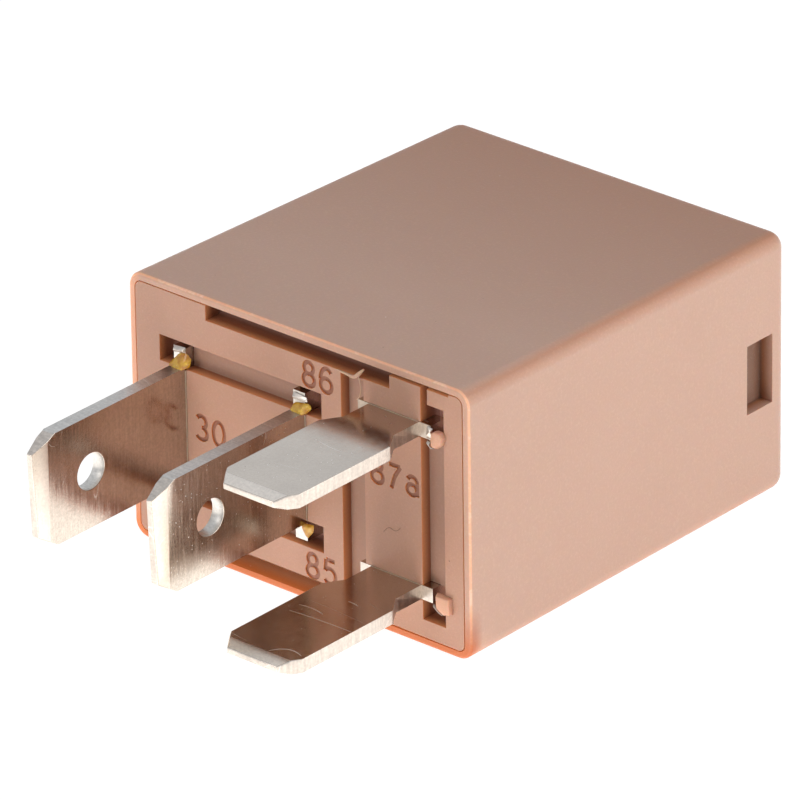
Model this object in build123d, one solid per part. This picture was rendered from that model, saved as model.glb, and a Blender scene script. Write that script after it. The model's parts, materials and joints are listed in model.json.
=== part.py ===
from build123d import *
import os
from math import cos, radians, sin, tan

# Four-blade automotive micro relay, lying on one of its flat sides.
# X runs across the terminal face, Y from the blades to the closed end, Z up.
# The origin is the middle of the side that it rests on. "Depth" is measured
# from the terminal face into the case, so the blades have negative depth.

# Case
CASE_WIDTH = 23.0
CASE_DEPTH = 25.7
CASE_HEIGHT = 15.2
SIDE_DRAFT = 0.63
TOP_DRAFT = 0.92
CASE_WALL = 0.8
END_WALL = 0.9
CORNER_RADIUS = 0.9
RIM_WALL = 0.42
RIM_RADIUS = 0.2
INNER_RADIUS = 0.3

# Pocket near the closed end of each side, for a puller
POCKET_LENGTH = 2.1
POCKET_HEIGHT = 3.95
POCKET_DEPTH = 0.85
POCKET_FLOOR = 0.4
POCKET_END_MARGIN = 1.3
POCKET_FRAME = 0.35

# Snap catches between base and cover
CATCH_WIDTH = 3.0
CATCH_LENGTH = 0.8
CATCH_HEIGHT = 0.28
CATCH_DEPTH = 2.0
CATCH_PITCH = 8.0
CATCH_CLEARANCE = 0.08

# Base
BASE_THICKNESS = 3.4
FLANGE_THICKNESS = 1.2
SEAM_GAP = 0.06
BODY_CLEARANCE = 0.1
MOULD_CLEARANCE = 0.02
VENT_WIDTH = 12.4
VENT_HEIGHT = 0.85
RELIEF_HEIGHT = 0.14
RELIEF_DEPTH = 0.5

# Grooves in the terminal face
GROOVE_DEPTH = 0.65
POCKET_CORE_DEPTH = 1.5
GROOVE_INNER = 3.05
GROOVE_OUTER = 4.5
GROOVE_LEFT_MARGIN = 1.36
GROOVE_RIGHT_MARGIN = 1.5
POCKET_87_LEFT = 0.5
PANEL_WIDTH = 3.82
PANEL_SHIFT = -0.13
SIDE_GROOVE_WIDTH = 1.5
SIDE_GROOVE_REACH = 6.1
SIDE_POCKET_START = 4.2
CORE_SLIT_WIDTH = 0.42
CORE_SLIT_LENGTH = 0.9

# Blades and where they stand
BLADE_THICKNESS = 0.8
WIDE_BLADE_LENGTH = 11.4
NARROW_BLADE_LENGTH = 11.02
WIDE_BLADE = 6.3
NARROW_BLADE = 4.8
WIDE_TIP_LENGTH = 1.5
NARROW_TIP_LENGTH = 1.15
TIP_INSET = 0.75
TIP_SLANT = 0.3
WIDE_BEVEL_LENGTH = 1.0
NARROW_BEVEL_LENGTH = 0.65
BEVEL_INSET = 0.24
NECK_WIDTH = 3.35
NECK_LENGTH = 1.95
NECK_TAPER = 1.05
DETENT_DIAMETER = 2.0
DETENT_FROM_TIP = 4.13
X_30 = -8.06
X_87 = 0.1
X_COIL = 6.5
COIL_BLADE_PITCH = 9.2
WIDE_SHOULDER = 8.4
NARROW_SHOULDER = 4.85
SHOULDER_SINK = 0.03
SHOULDER_DEPTH = 1.2
FOLD_RADIUS = 0.8
FOOT_WIDTH = 5.0
FOOT_LENGTH = 4.4
ARM_WIDTH = 3.6
ARM_RUN_DEPTH = 2.0
TAIL_TOP = 7.4
TAIL_MARGIN = 0.5

# Magnet frame, core and armature
YOKE_THICKNESS = 1.2
YOKE_INSET = 0.3
YOKE_RADIUS = 0.5
SPRING_ROOM = 1.14
ARMATURE_ROOM = 3.9
ARMATURE_THICKNESS = 1.2
ARMATURE_SIDE_INSET = 0.3
ARMATURE_TIP_WIDTH = 6.6
ARMATURE_OVERHANG = 1.4
ARMATURE_INSET = 0.36
ARMATURE_NOSE = 0.6
OPEN_ANGLE = 2.0
HINGE_GAP = 0.03
POLE_GAP = 0.02
TENON_SHOULDER = 0.5
POLE_DIAMETER = 7.6
POLE_THICKNESS = 0.9
YOKE_TOE = 3.6

# Bobbin and winding
COIL_GAP = 1.0
FLANGE_WEB = 0.8
FLANGE_MARGIN = 1.0
FLANGE_RADIUS = 0.8
HUB_WALL = 0.6
SEAT_GAP = 0.05
WINDING_INSET = 0.9
CORE_TO_WINDING = 0.51
WINDING_GAP = 0.05
WIRE_DIAMETER = 0.25
WIRE_DEPTH = 6.3

# Contacts and spring
CONTACT_DIAMETER = 2.6
CONTACT_THICKNESS = 0.7
MOVING_THICKNESS = 0.6
CONTACT_GAP = 0.04
SHANK_DIAMETER = 1.2
STAKE_DIAMETER = 1.8
STAKE_HEIGHT = 0.3
FLANGE_TO_ARM = 0.4
CONTACT_ROOM = 3.6
CONTACT_END_GAP = 0.3
SPRING_THICKNESS = 0.25
SPRING_WIDTH = 8.0
SPRING_NECK_WIDTH = 3.4
SPRING_START = 8.0
SPRING_BEND = 0.875
SPRING_WINDOW = 3.2
SPRING_WINDOW_REACH = 1.9
RIVET_SHANK = 1.0
RIVET_HEAD = 1.7
RIVET_HEIGHT = 0.32
RIVET_PITCH = 3.6
YOKE_RIVET_DEPTH = 11.5
ARMATURE_RIVET_X = 3.0

# Back stop
STOP_THICKNESS = 0.5
STOP_WIDTH = 3.0
STOP_ROOM = 1.2
STOP_ROOT = 1.4
STOP_GAP = 0.05
STOP_BEND = 0.6

# Resistor across the coil
RESISTOR_DIAMETER = 2.0
RESISTOR_LENGTH = 5.6
RESISTOR_BEVEL = 0.35
RESISTOR_DEPTH = 6.0
RESISTOR_LEAD = 0.5
SOLDER_RADIUS = 0.55
SOLDER_NECK = 0.33
BEAD_RADIUS = 0.38
BEAD_LENGTH = 0.5

# Sizes that follow from the ones above
FACE_Y = -CASE_DEPTH / 2
MID_Z = CASE_HEIGHT / 2
INNER_HALF = CASE_WIDTH / 2 - CASE_WALL
YOKE_OUTER = -(INNER_HALF - SPRING_ROOM)
YOKE_INNER = YOKE_OUTER + YOKE_THICKNESS
YOKE_TOP = CASE_DEPTH - END_WALL - ARMATURE_ROOM
STOP_OUTER = INNER_HALF - STOP_ROOM
STOP_INNER = STOP_OUTER - STOP_THICKNESS
ARM_OUTER = STOP_INNER - CONTACT_ROOM
ARM_INNER = ARM_OUTER - BLADE_THICKNESS
CONTACT_X = STOP_INNER - CONTACT_END_GAP - CONTACT_DIAMETER / 2
BOBBIN_LEFT = YOKE_INNER + COIL_GAP
BOBBIN_RIGHT = ARM_INNER - FLANGE_TO_ARM
COIL_X = (BOBBIN_LEFT + BOBBIN_RIGHT) / 2
FLANGE_HEIGHT = CASE_HEIGHT - 2 * (CASE_WALL + FLANGE_MARGIN)
WINDING_DIAMETER = min(BOBBIN_RIGHT - BOBBIN_LEFT, FLANGE_HEIGHT) - 2 * WINDING_INSET
CORE_DIAMETER = CORE_TO_WINDING * WINDING_DIAMETER
CORE_TENON = CORE_DIAMETER - 2 * TENON_SHOULDER
YOKE_WIDTH = FLANGE_HEIGHT - 2 * YOKE_INSET
ARMATURE_WIDTH = YOKE_WIDTH - 2 * ARMATURE_SIDE_INSET
BOBBIN_BOTTOM = BASE_THICKNESS + YOKE_THICKNESS + SEAT_GAP
POLE_FACE = YOKE_TOP - POLE_GAP
BOBBIN_TOP = POLE_FACE - POLE_THICKNESS - SEAT_GAP
PIVOT_X = YOKE_OUTER + ARMATURE_INSET
PIVOT_DEPTH = YOKE_TOP + HINGE_GAP
SPRING_LEVEL = ARMATURE_THICKNESS + SPRING_THICKNESS / 2
RESISTOR_X = (ARM_OUTER + STOP_INNER) / 2
TAIL_LEFT = BOBBIN_RIGHT + FLANGE_TO_ARM
PANEL_LEFT = X_COIL + PANEL_SHIFT - PANEL_WIDTH / 2
PANEL_RIGHT = X_COIL + PANEL_SHIFT + PANEL_WIDTH / 2


def block(x, depth, z):
    """A box between two values along each axis; depth from the terminal face."""
    size = Box(x[1] - x[0], depth[1] - depth[0], z[1] - z[0])
    return Pos((x[0] + x[1]) / 2, FACE_Y + (depth[0] + depth[1]) / 2, (z[0] + z[1]) / 2) * size


def prism(sketch, start, end):
    """An X-Z outline carried along Y between two depths."""
    return extrude(Plane.XZ.offset(-FACE_Y - start) * sketch, amount=start - end)


def rod(x, z, diameter, start, end):
    """A round bar along Y between two depths."""
    return prism(Pos(x, z) * Circle(diameter / 2), start, end)


def strip(points, radius, thickness, width):
    """A folded strip: a path of (x, depth) points, given thickness and a width along Z."""
    path = FilletPolyline(*[(x, FACE_Y + depth) for x, depth in points], radius=radius)
    return Pos(0, 0, MID_Z) * extrude(trace(path, thickness), width / 2, both=True)


def opened(x, level):
    """Where a point of the armature stands when it is released; level above the hinge."""
    angle = radians(OPEN_ANGLE)
    along = x - PIVOT_X
    return (PIVOT_X + along * cos(angle) - level * sin(angle),
            PIVOT_DEPTH + along * sin(angle) + level * cos(angle))


def released(piece):
    """Turns a piece that is drawn pulled in to its place with the coil off."""
    return piece.rotate(Axis((PIVOT_X, FACE_Y + PIVOT_DEPTH, 0), (0, 0, 1)), OPEN_ANGLE)


def case_form(end, inset, closed=False):
    """The case's drafted form from its face to a depth; the resting side stays level."""
    depths = (0, end)
    right = [(CASE_WIDTH / 2 - depth * tan(radians(SIDE_DRAFT)) - inset, FACE_Y + depth)
             for depth in depths]
    top = [(FACE_Y + depth, CASE_HEIGHT - depth * tan(radians(TOP_DRAFT)) - inset)
           for depth in depths]
    plan = make_face(Polyline(*right, *[(-x, y) for x, y in reversed(right)], close=True))
    side = make_face(Polyline(*top, *[(y, inset) for y, z in reversed(top)], close=True))
    form = extrude(plan, CASE_HEIGHT) & extrude(Plane.YZ * side, CASE_WIDTH, both=True)
    rounded = form.edges().filter_by(lambda edge: abs((edge @ 1 - edge @ 0).Y) > end / 2)
    if closed:
        rounded += form.faces().sort_by(Axis.Y)[-1].edges()
    return fillet(rounded, max(CORNER_RADIUS - inset, INNER_RADIUS))


def puller_pocket(side):
    """The blind pocket on one side, and the thicker wall that closes it."""
    end = CASE_DEPTH - POCKET_END_MARGIN
    start = end - POCKET_LENGTH
    face = CASE_WIDTH / 2 - start * tan(radians(SIDE_DRAFT))
    middle = (CASE_HEIGHT - start * tan(radians(TOP_DRAFT))) / 2
    floor = face - POCKET_DEPTH
    low = middle - POCKET_HEIGHT / 2
    high = middle + POCKET_HEIGHT / 2
    hollow = block((floor, CASE_WIDTH / 2), (start, end), (low, high))
    frame = block((floor - POCKET_FLOOR, face - CASE_WALL / 2),
                  (start - POCKET_FRAME, CASE_DEPTH - END_WALL / 2),
                  (low - POCKET_FRAME, high + POCKET_FRAME))
    if side < 0:
        return mirror(hollow, Plane.YZ), mirror(frame, Plane.YZ)
    return hollow, frame


def catches(grow):
    """The wedge catches on both sides of the base, or the cavities that take them."""
    root = INNER_HALF - BODY_CLEARANCE
    tip = root + BODY_CLEARANCE + CATCH_HEIGHT + grow
    near = CATCH_DEPTH - CATCH_LENGTH / 2 - grow
    far = CATCH_DEPTH + CATCH_LENGTH / 2 + grow
    wedge = make_face(Polyline((root - CATCH_HEIGHT, FACE_Y + near), (tip, FACE_Y + near),
                               (root - CATCH_HEIGHT, FACE_Y + far + CATCH_LENGTH), close=True))
    tooth = extrude(wedge, CATCH_WIDTH / 2 + grow, both=True)
    row = Part() + [Pos(0, 0, MID_Z + step * CATCH_PITCH / 2) * tooth for step in (-1, 1)]
    return row + mirror(row, Plane.YZ)


def cover():
    """The moulded case, open at the terminal face."""
    shell = case_form(CASE_DEPTH, 0, closed=True)
    shell = fillet(shell.faces().sort_by(Axis.Y)[0].edges(), RIM_RADIUS)
    shell -= case_form(CASE_DEPTH - END_WALL, CASE_WALL)
    shell -= case_form(FLANGE_THICKNESS + SEAM_GAP, RIM_WALL)
    for side in (-1, 1):
        hollow, frame = puller_pocket(side)
        shell = shell + frame - hollow
    return shell - catches(CATCH_CLEARANCE)


def wide_outline(slant):
    """Half widths of a wide blade at its corners, from its tip to the end of its shoulders."""
    half = WIDE_BLADE / 2
    return [(half - TIP_INSET, slant - WIDE_BLADE_LENGTH),
            (half, WIDE_TIP_LENGTH - WIDE_BLADE_LENGTH), (half, SHOULDER_SINK),
            (WIDE_SHOULDER / 2, SHOULDER_SINK), (WIDE_SHOULDER / 2, SHOULDER_DEPTH)]


def narrow_outline():
    """Half widths of a narrow blade at its corners, with its neck next to the base."""
    half = NARROW_BLADE / 2
    neck = NECK_WIDTH / 2
    return [(half - TIP_INSET, -NARROW_BLADE_LENGTH),
            (half, NARROW_TIP_LENGTH - NARROW_BLADE_LENGTH),
            (half, -NECK_LENGTH - NECK_TAPER), (neck, -NECK_LENGTH), (neck, SHOULDER_SINK),
            (NARROW_SHOULDER / 2, SHOULDER_SINK), (NARROW_SHOULDER / 2, SHOULDER_DEPTH),
            (neck, SHOULDER_DEPTH), (neck, BASE_THICKNESS)]


def blade(right_side, left_side, length, bevel):
    """A flat blade in the X-Y plane at height zero, its tip thinned on both faces."""
    right = [(x, FACE_Y + depth) for x, depth in right_side]
    left = [(-x, FACE_Y + depth) for x, depth in reversed(left_side)]
    plate = extrude(make_face(Polyline(*right, *left, close=True)), BLADE_THICKNESS / 2, both=True)
    tip = FACE_Y - length
    half = BLADE_THICKNESS / 2
    root = right[-1][1]
    edge = [(tip, half - BEVEL_INSET), (tip + bevel, half), (root, half)]
    side = Polyline(*edge, *[(y, -z) for y, z in reversed(edge)], close=True)
    return plate & extrude(Plane.YZ * make_face(side), CASE_WIDTH, both=True)


def detent(x):
    """The round hole through a wide blade."""
    y = FACE_Y - WIDE_BLADE_LENGTH + DETENT_FROM_TIP
    return Pos(x, y, MID_Z) * Rot(0, 90, 0) * Cylinder(DETENT_DIAMETER / 2, 2 * BLADE_THICKNESS)


def wide_blade(x):
    """A wide blade standing on edge, its tip sheared a little aslant."""
    sides = (wide_outline(TIP_SLANT), wide_outline(0))
    plate = blade(*sides, WIDE_BLADE_LENGTH, WIDE_BEVEL_LENGTH)
    return Pos(x, 0, MID_Z) * Rot(0, 90, 0) * plate - detent(x)


def foot_path():
    """Terminal 30 folds under the yoke."""
    level = BASE_THICKNESS - BLADE_THICKNESS / 2
    return [(X_30, SHOULDER_DEPTH / 2), (X_30, level), (X_30 + FOOT_LENGTH, level)]


def arm_path():
    """Terminal 87 runs through the base, up beside the coil and over to its contact."""
    arm = (ARM_INNER + ARM_OUTER) / 2
    return [(X_87, SHOULDER_DEPTH / 2), (X_87, ARM_RUN_DEPTH), (arm, ARM_RUN_DEPTH),
            (arm, arm_top() - BLADE_THICKNESS / 2),
            (STOP_INNER - CONTACT_END_GAP, arm_top() - BLADE_THICKNESS / 2)]


def arm_top():
    """The seat of the fixed contact, set by the moving one when it is pulled in."""
    closed = PIVOT_DEPTH + ARMATURE_THICKNESS - MOVING_THICKNESS
    return closed - CONTACT_GAP - CONTACT_THICKNESS


def terminal_30():
    """Common terminal: wide blade, folded foot welded under the yoke."""
    foot = strip(foot_path(), FOLD_RADIUS, BLADE_THICKNESS, FOOT_WIDTH)
    return wide_blade(X_30) + foot


def terminal_87():
    """Switched terminal: wide blade, and the arm that carries the fixed contact."""
    arm = strip(arm_path(), FOLD_RADIUS, BLADE_THICKNESS, ARM_WIDTH)
    shank = rod(CONTACT_X, MID_Z, SHANK_DIAMETER, arm_top() - 2 * BLADE_THICKNESS, arm_top())
    return wide_blade(X_87) + arm - shank


def coil_terminal(side):
    """Narrow blade with a tail for one end of the coil; side is +1 above, -1 below."""
    level = MID_Z + side * COIL_BLADE_PITCH / 2
    sides = (narrow_outline(), narrow_outline())
    flat = Pos(X_COIL, 0, level) * blade(*sides, NARROW_BLADE_LENGTH, NARROW_BEVEL_LENGTH)
    half = BLADE_THICKNESS / 2
    return flat + block((TAIL_LEFT, RESISTOR_X + TAIL_MARGIN), (BASE_THICKNESS - half, TAIL_TOP),
                        (level - half, level + half))


def stop_path():
    """The back stop rises beside the contacts and reaches over the moving one."""
    x = (STOP_INNER + STOP_OUTER) / 2
    stake_top = SPRING_LEVEL + SPRING_THICKNESS / 2 + STAKE_HEIGHT
    highest = opened(CONTACT_X + STAKE_DIAMETER / 2, stake_top)[1]
    level = highest + STOP_GAP + STOP_THICKNESS / 2
    return [(x, STOP_ROOT), (x, level), (CONTACT_X - STAKE_DIAMETER / 2, level)]


def back_stop():
    """The strip that the moving contact rests against when the coil is off."""
    return strip(stop_path(), STOP_BEND, STOP_THICKNESS, STOP_WIDTH)


def terminal_slots():
    """What the base leaves free round the metal moulded into it."""
    play = 2 * MOULD_CLEARANCE
    slot = BLADE_THICKNESS + play
    wide = (WIDE_SHOULDER + play) / 2
    narrow = (NARROW_SHOULDER + play) / 2
    neck = (NECK_WIDTH + play) / 2
    front = -SHOULDER_DEPTH
    shelf = SHOULDER_DEPTH + MOULD_CLEARANCE
    cuts = [block((x - slot / 2, x + slot / 2), (front, shelf), (MID_Z - wide, MID_Z + wide))
            for x in (X_30, X_87)]
    for side in (-1, 1):
        level = MID_Z + side * COIL_BLADE_PITCH / 2
        edges = (level - slot / 2, level + slot / 2)
        cuts.append(block((X_COIL - narrow, X_COIL + narrow), (front, shelf), edges))
        cuts.append(block((X_COIL - neck, X_COIL + neck), (0, 2 * BASE_THICKNESS), edges))
        tail = (TAIL_LEFT - MOULD_CLEARANCE, RESISTOR_X + TAIL_MARGIN + MOULD_CLEARANCE)
        cuts.append(block(tail, (BASE_THICKNESS - slot / 2, 2 * BASE_THICKNESS), edges))
    cuts.append(strip(foot_path(), FOLD_RADIUS, slot, FOOT_WIDTH + play))
    cuts.append(strip(arm_path(), FOLD_RADIUS, slot, ARM_WIDTH + play))
    cuts.append(strip(stop_path(), STOP_BEND, STOP_THICKNESS + play, STOP_WIDTH + play))
    return cuts


def face_grooves():
    """The grooves and deeper pockets that the mould leaves in the terminal face."""
    left = X_30 - GROOVE_LEFT_MARGIN
    right = X_87 + GROOVE_RIGHT_MARGIN
    reach = (MID_Z - SIDE_GROOVE_REACH, MID_Z + SIDE_GROOVE_REACH)
    shallow = (-GROOVE_DEPTH, GROOVE_DEPTH)
    deep = (-GROOVE_DEPTH, POCKET_CORE_DEPTH)
    cuts = [block((PANEL_LEFT - SIDE_GROOVE_WIDTH, PANEL_LEFT), shallow, reach),
            block((PANEL_RIGHT, PANEL_RIGHT + SIDE_GROOVE_WIDTH), shallow, reach)]
    for side in (-1, 1):
        z = sorted((MID_Z + side * GROOVE_INNER, MID_Z + side * GROOVE_OUTER))
        cuts.append(block((left, right), shallow, z))
        cuts.append(block((left, X_30 + BLADE_THICKNESS / 2 + MOULD_CLEARANCE), deep, z))
        cuts.append(block((X_87 - POCKET_87_LEFT, right), deep, z))
        ends = sorted((MID_Z + side * SIDE_POCKET_START, MID_Z + side * SIDE_GROOVE_REACH))
        cuts.append(block((PANEL_RIGHT, PANEL_RIGHT + SIDE_GROOVE_WIDTH), deep, ends))
    slit = (MID_Z + SIDE_GROOVE_REACH - CORE_SLIT_WIDTH, MID_Z + SIDE_GROOVE_REACH + CORE_SLIT_LENGTH)
    cuts.append(block((PANEL_RIGHT, PANEL_RIGHT + CORE_SLIT_WIDTH), shallow, slit))
    return cuts


def vents():
    """The long notches in the top and bottom edges, and the wide seam beside the top one."""
    inset = RIM_WALL + SEAM_GAP
    span = (-VENT_WIDTH / 2, VENT_WIDTH / 2)
    through = (-BASE_THICKNESS, 2 * BASE_THICKNESS)
    top = CASE_HEIGHT - inset
    cuts = [block(span, through, (top - VENT_HEIGHT, CASE_HEIGHT)),
            block(span, through, (0, inset + VENT_HEIGHT))]
    beside = (VENT_WIDTH / 2, CASE_WIDTH / 2 - inset - CORNER_RADIUS)
    cuts.append(block(beside, (-RELIEF_DEPTH, RELIEF_DEPTH), (top - RELIEF_HEIGHT, CASE_HEIGHT)))
    return cuts


def base():
    """The moulded base: a flange in the mouth of the cover and a thicker body behind it."""
    plate = case_form(FLANGE_THICKNESS, RIM_WALL + SEAM_GAP)
    body = case_form(BASE_THICKNESS, CASE_WALL + BODY_CLEARANCE)
    solid = plate + body + catches(0)
    return solid - face_grooves() - vents() - terminal_slots()


def yoke():
    """The L-shaped magnet frame: a toe under the coil and a leg up to the hinge."""
    toe = COIL_X + YOKE_TOE
    half = YOKE_THICKNESS / 2
    path = [(toe, BASE_THICKNESS + half), (YOKE_OUTER + half, BASE_THICKNESS + half),
            (YOKE_OUTER + half, YOKE_TOP)]
    frame = strip(path, YOKE_RADIUS + half, YOKE_THICKNESS, YOKE_WIDTH)
    frame -= rod(COIL_X, MID_Z, CORE_TENON, 0, YOKE_TOP)
    return frame - yoke_rivets()


def core():
    """The iron core: a tenon riveted in the yoke, a round bar and a wide pole."""
    shoulder = BASE_THICKNESS + YOKE_THICKNESS
    tenon = rod(COIL_X, MID_Z, CORE_TENON, BASE_THICKNESS, shoulder)
    bar = rod(COIL_X, MID_Z, CORE_DIAMETER, shoulder, POLE_FACE)
    return tenon + bar + rod(COIL_X, MID_Z, POLE_DIAMETER, POLE_FACE - POLE_THICKNESS, POLE_FACE)


def bobbin():
    """The moulded spool between yoke and pole."""
    outline = RectangleRounded(BOBBIN_RIGHT - BOBBIN_LEFT, FLANGE_HEIGHT, FLANGE_RADIUS)
    flange = Pos(COIL_X, MID_Z) * outline
    hub = CORE_DIAMETER + 2 * HUB_WALL
    spool = (prism(flange, BOBBIN_BOTTOM, BOBBIN_BOTTOM + FLANGE_WEB)
             + prism(flange, BOBBIN_TOP - FLANGE_WEB, BOBBIN_TOP)
             + rod(COIL_X, MID_Z, hub, BOBBIN_BOTTOM, BOBBIN_TOP))
    return spool - rod(COIL_X, MID_Z, CORE_DIAMETER + 2 * SEAT_GAP, 0, CASE_DEPTH)


def wire_end(side):
    """One end of the coil wire, from the winding to the tail of its terminal."""
    start = Vector(COIL_X, FACE_Y + WIRE_DEPTH, MID_Z)
    end = Vector(TAIL_LEFT - WIRE_DIAMETER / 2, FACE_Y + WIRE_DEPTH, MID_Z + side * COIL_BLADE_PITCH / 2)
    way = end - start
    plane = Plane(end, z_dir=-way)
    return extrude(plane * Circle(WIRE_DIAMETER / 2), way.length / 2)


def coil_winding():
    """The wound copper with both its ends."""
    start = BOBBIN_BOTTOM + FLANGE_WEB + WINDING_GAP
    end = BOBBIN_TOP - FLANGE_WEB - WINDING_GAP
    hub = CORE_DIAMETER + 2 * HUB_WALL + 2 * WINDING_GAP
    turns = rod(COIL_X, MID_Z, WINDING_DIAMETER, start, end) + wire_end(-1) + wire_end(1)
    return turns - rod(COIL_X, MID_Z, hub, start, end)


def armature_outline():
    """The armature seen along the coil: wide at the hinge, narrower towards the contacts."""
    tip = COIL_X + POLE_DIAMETER / 2 + ARMATURE_OVERHANG
    shoulder = COIL_X
    right = [(PIVOT_X, ARMATURE_WIDTH / 2), (shoulder, ARMATURE_WIDTH / 2), (tip, ARMATURE_TIP_WIDTH / 2)]
    left = [(x, -z) for x, z in reversed(right)]
    return Pos(0, MID_Z) * make_face(Polyline(*right, *left, close=True))


def armature():
    """The hinged iron plate that the pole pulls in."""
    plate = prism(armature_outline(), PIVOT_DEPTH, PIVOT_DEPTH + ARMATURE_THICKNESS)
    nose = plate.edges().filter_by(Axis.Z).group_by(Axis.X)[0].sort_by(Axis.Y)[-1]
    return released(fillet(nose, ARMATURE_NOSE)) - armature_rivets()


def spring_outline():
    """The spring seen along the coil."""
    end = STOP_INNER - CONTACT_END_GAP
    narrow = CONTACT_X - CONTACT_DIAMETER
    right = [(-CASE_WIDTH / 2, SPRING_WIDTH / 2), (COIL_X, SPRING_WIDTH / 2),
             (narrow, SPRING_NECK_WIDTH / 2), (end, SPRING_NECK_WIDTH / 2)]
    left = [(x, -z) for x, z in reversed(right)]
    return Pos(0, MID_Z) * make_face(Polyline(*right, *left, close=True))


def spring_path():
    """From the yoke's leg round the hinge and along the released armature."""
    x = YOKE_OUTER - SPRING_THICKNESS / 2
    angle = radians(OPEN_ANGLE)
    corner = PIVOT_DEPTH + SPRING_LEVEL / cos(angle) + (x - PIVOT_X) * tan(angle)
    return [(x, SPRING_START), (x, corner), opened(STOP_INNER - CONTACT_END_GAP, SPRING_LEVEL)]


def contact_spring():
    """The leaf spring: riveted to the yoke, bent over the hinge, carrying the moving contact."""
    leaf = strip(spring_path(), SPRING_BEND, SPRING_THICKNESS, SPRING_WIDTH)
    leaf &= prism(spring_outline(), 0, CASE_DEPTH)
    window = block((-CASE_WIDTH / 2, YOKE_INNER), (YOKE_TOP - SPRING_WINDOW_REACH, CASE_DEPTH),
                   (MID_Z - SPRING_WINDOW / 2, MID_Z + SPRING_WINDOW / 2))
    return leaf - window - yoke_rivets() - armature_rivets() - moving_contact()


def contact_button(thickness, seat, end):
    """A contact rivet: a head, a shank through its carrier and a stake behind it."""
    way = 1 if end > seat else -1
    parts = [(CONTACT_DIAMETER, seat - way * thickness, seat), (SHANK_DIAMETER, seat, end),
             (STAKE_DIAMETER, end, end + way * STAKE_HEIGHT)]
    pieces = [rod(CONTACT_X, MID_Z, size, min(a, b), max(a, b)) for size, a, b in parts]
    return pieces[0] + pieces[1:]


def moving_contact():
    """The silver contact on the spring, facing the coil's foot."""
    seat = PIVOT_DEPTH + ARMATURE_THICKNESS
    return released(contact_button(MOVING_THICKNESS, seat, seat + SPRING_THICKNESS))


def fixed_contact():
    """The silver contact on terminal 87."""
    return contact_button(CONTACT_THICKNESS, arm_top(), arm_top() - BLADE_THICKNESS)


def yoke_rivets():
    """Two rivets that hold the spring to the yoke's leg."""
    outside = YOKE_OUTER - SPRING_THICKNESS
    pair = []
    for side in (-1, 1):
        plane = Plane((outside, FACE_Y + YOKE_RIVET_DEPTH, MID_Z + side * RIVET_PITCH / 2),
                      z_dir=(-1, 0, 0))
        head = extrude(plane * Circle(RIVET_HEAD / 2), RIVET_HEIGHT)
        pair.append(head + extrude(plane * Circle(RIVET_SHANK / 2), outside - YOKE_INNER))
    return Part() + pair


def armature_rivets():
    """Two rivets that hold the spring to the armature."""
    x = COIL_X - ARMATURE_RIVET_X
    seat = PIVOT_DEPTH + ARMATURE_THICKNESS + SPRING_THICKNESS
    pair = []
    for side in (-1, 1):
        z = MID_Z + side * RIVET_PITCH / 2
        shank = rod(x, z, RIVET_SHANK, PIVOT_DEPTH, seat)
        pair.append(shank + rod(x, z, RIVET_HEAD, seat, seat + RIVET_HEIGHT))
    return released(Part() + pair)


def resistor_level():
    """Faces of the two coil tails that look at each other."""
    gap = (COIL_BLADE_PITCH - BLADE_THICKNESS) / 2
    return MID_Z - gap, MID_Z + gap


def suppression_resistor():
    """The resistor's coated body, across the coil."""
    body = Cylinder(RESISTOR_DIAMETER / 2, RESISTOR_LENGTH)
    body = chamfer(body.edges().filter_by(GeomType.CIRCLE), RESISTOR_BEVEL)
    return Pos(RESISTOR_X, FACE_Y + RESISTOR_DEPTH, MID_Z) * body


def resistor_leads():
    """Its two wires, to the tails of terminals 85 and 86."""
    low, high = resistor_level()
    half = RESISTOR_LENGTH / 2
    stretches = [(low, MID_Z - half), (MID_Z + half, high)]
    return Part() + [Pos(RESISTOR_X, FACE_Y + RESISTOR_DEPTH, (a + b) / 2)
                     * Cylinder(RESISTOR_LEAD / 2, b - a) for a, b in stretches]


def solder_joints():
    """Solder round each wire where it meets its tail."""
    joints = []
    for side, level in zip((-1, 1), resistor_level()):
        cone = Cone(SOLDER_RADIUS, SOLDER_NECK, SOLDER_RADIUS)
        seat = Pos(RESISTOR_X, FACE_Y + RESISTOR_DEPTH, level - side * SOLDER_RADIUS / 2)
        joints.append(seat * (cone if side < 0 else Rot(180, 0, 0) * cone) - resistor_leads())
        bead = Rot(0, -90, 0) * Cone(BEAD_RADIUS, WIRE_DIAMETER, BEAD_LENGTH)
        tail = Pos(TAIL_LEFT - BEAD_LENGTH / 2, FACE_Y + WIRE_DEPTH, MID_Z + side * COIL_BLADE_PITCH / 2)
        joints.append(tail * bead - wire_end(side))
    return Part() + joints


NODES = {
    "cover": cover,
    "base": base,
    "terminal_30": terminal_30,
    "terminal_87": terminal_87,
    "yoke": yoke,
    "core": core,
    "bobbin": bobbin,
    "coil_winding": coil_winding,
    "armature": armature,
    "contact_spring": contact_spring,
    "moving_contact": moving_contact,
    "fixed_contact": fixed_contact,
    "yoke_rivets": yoke_rivets,
    "armature_rivets": armature_rivets,
    "back_stop": back_stop,
    "suppression_resistor": suppression_resistor,
    "resistor_leads": resistor_leads,
    "solder_joints": solder_joints,
}

os.makedirs("parts", exist_ok=True)
for name, make in NODES.items():
    export_step(make(), f"parts/{name}.step")
export_step(coil_terminal(-1), "parts/terminal_85.step")
export_step(coil_terminal(1), "parts/terminal_86.step")
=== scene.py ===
import bmesh
import bpy
import json
from math import cos, hypot, pi, radians, sin, tan
from mathutils import Matrix, Vector

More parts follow.
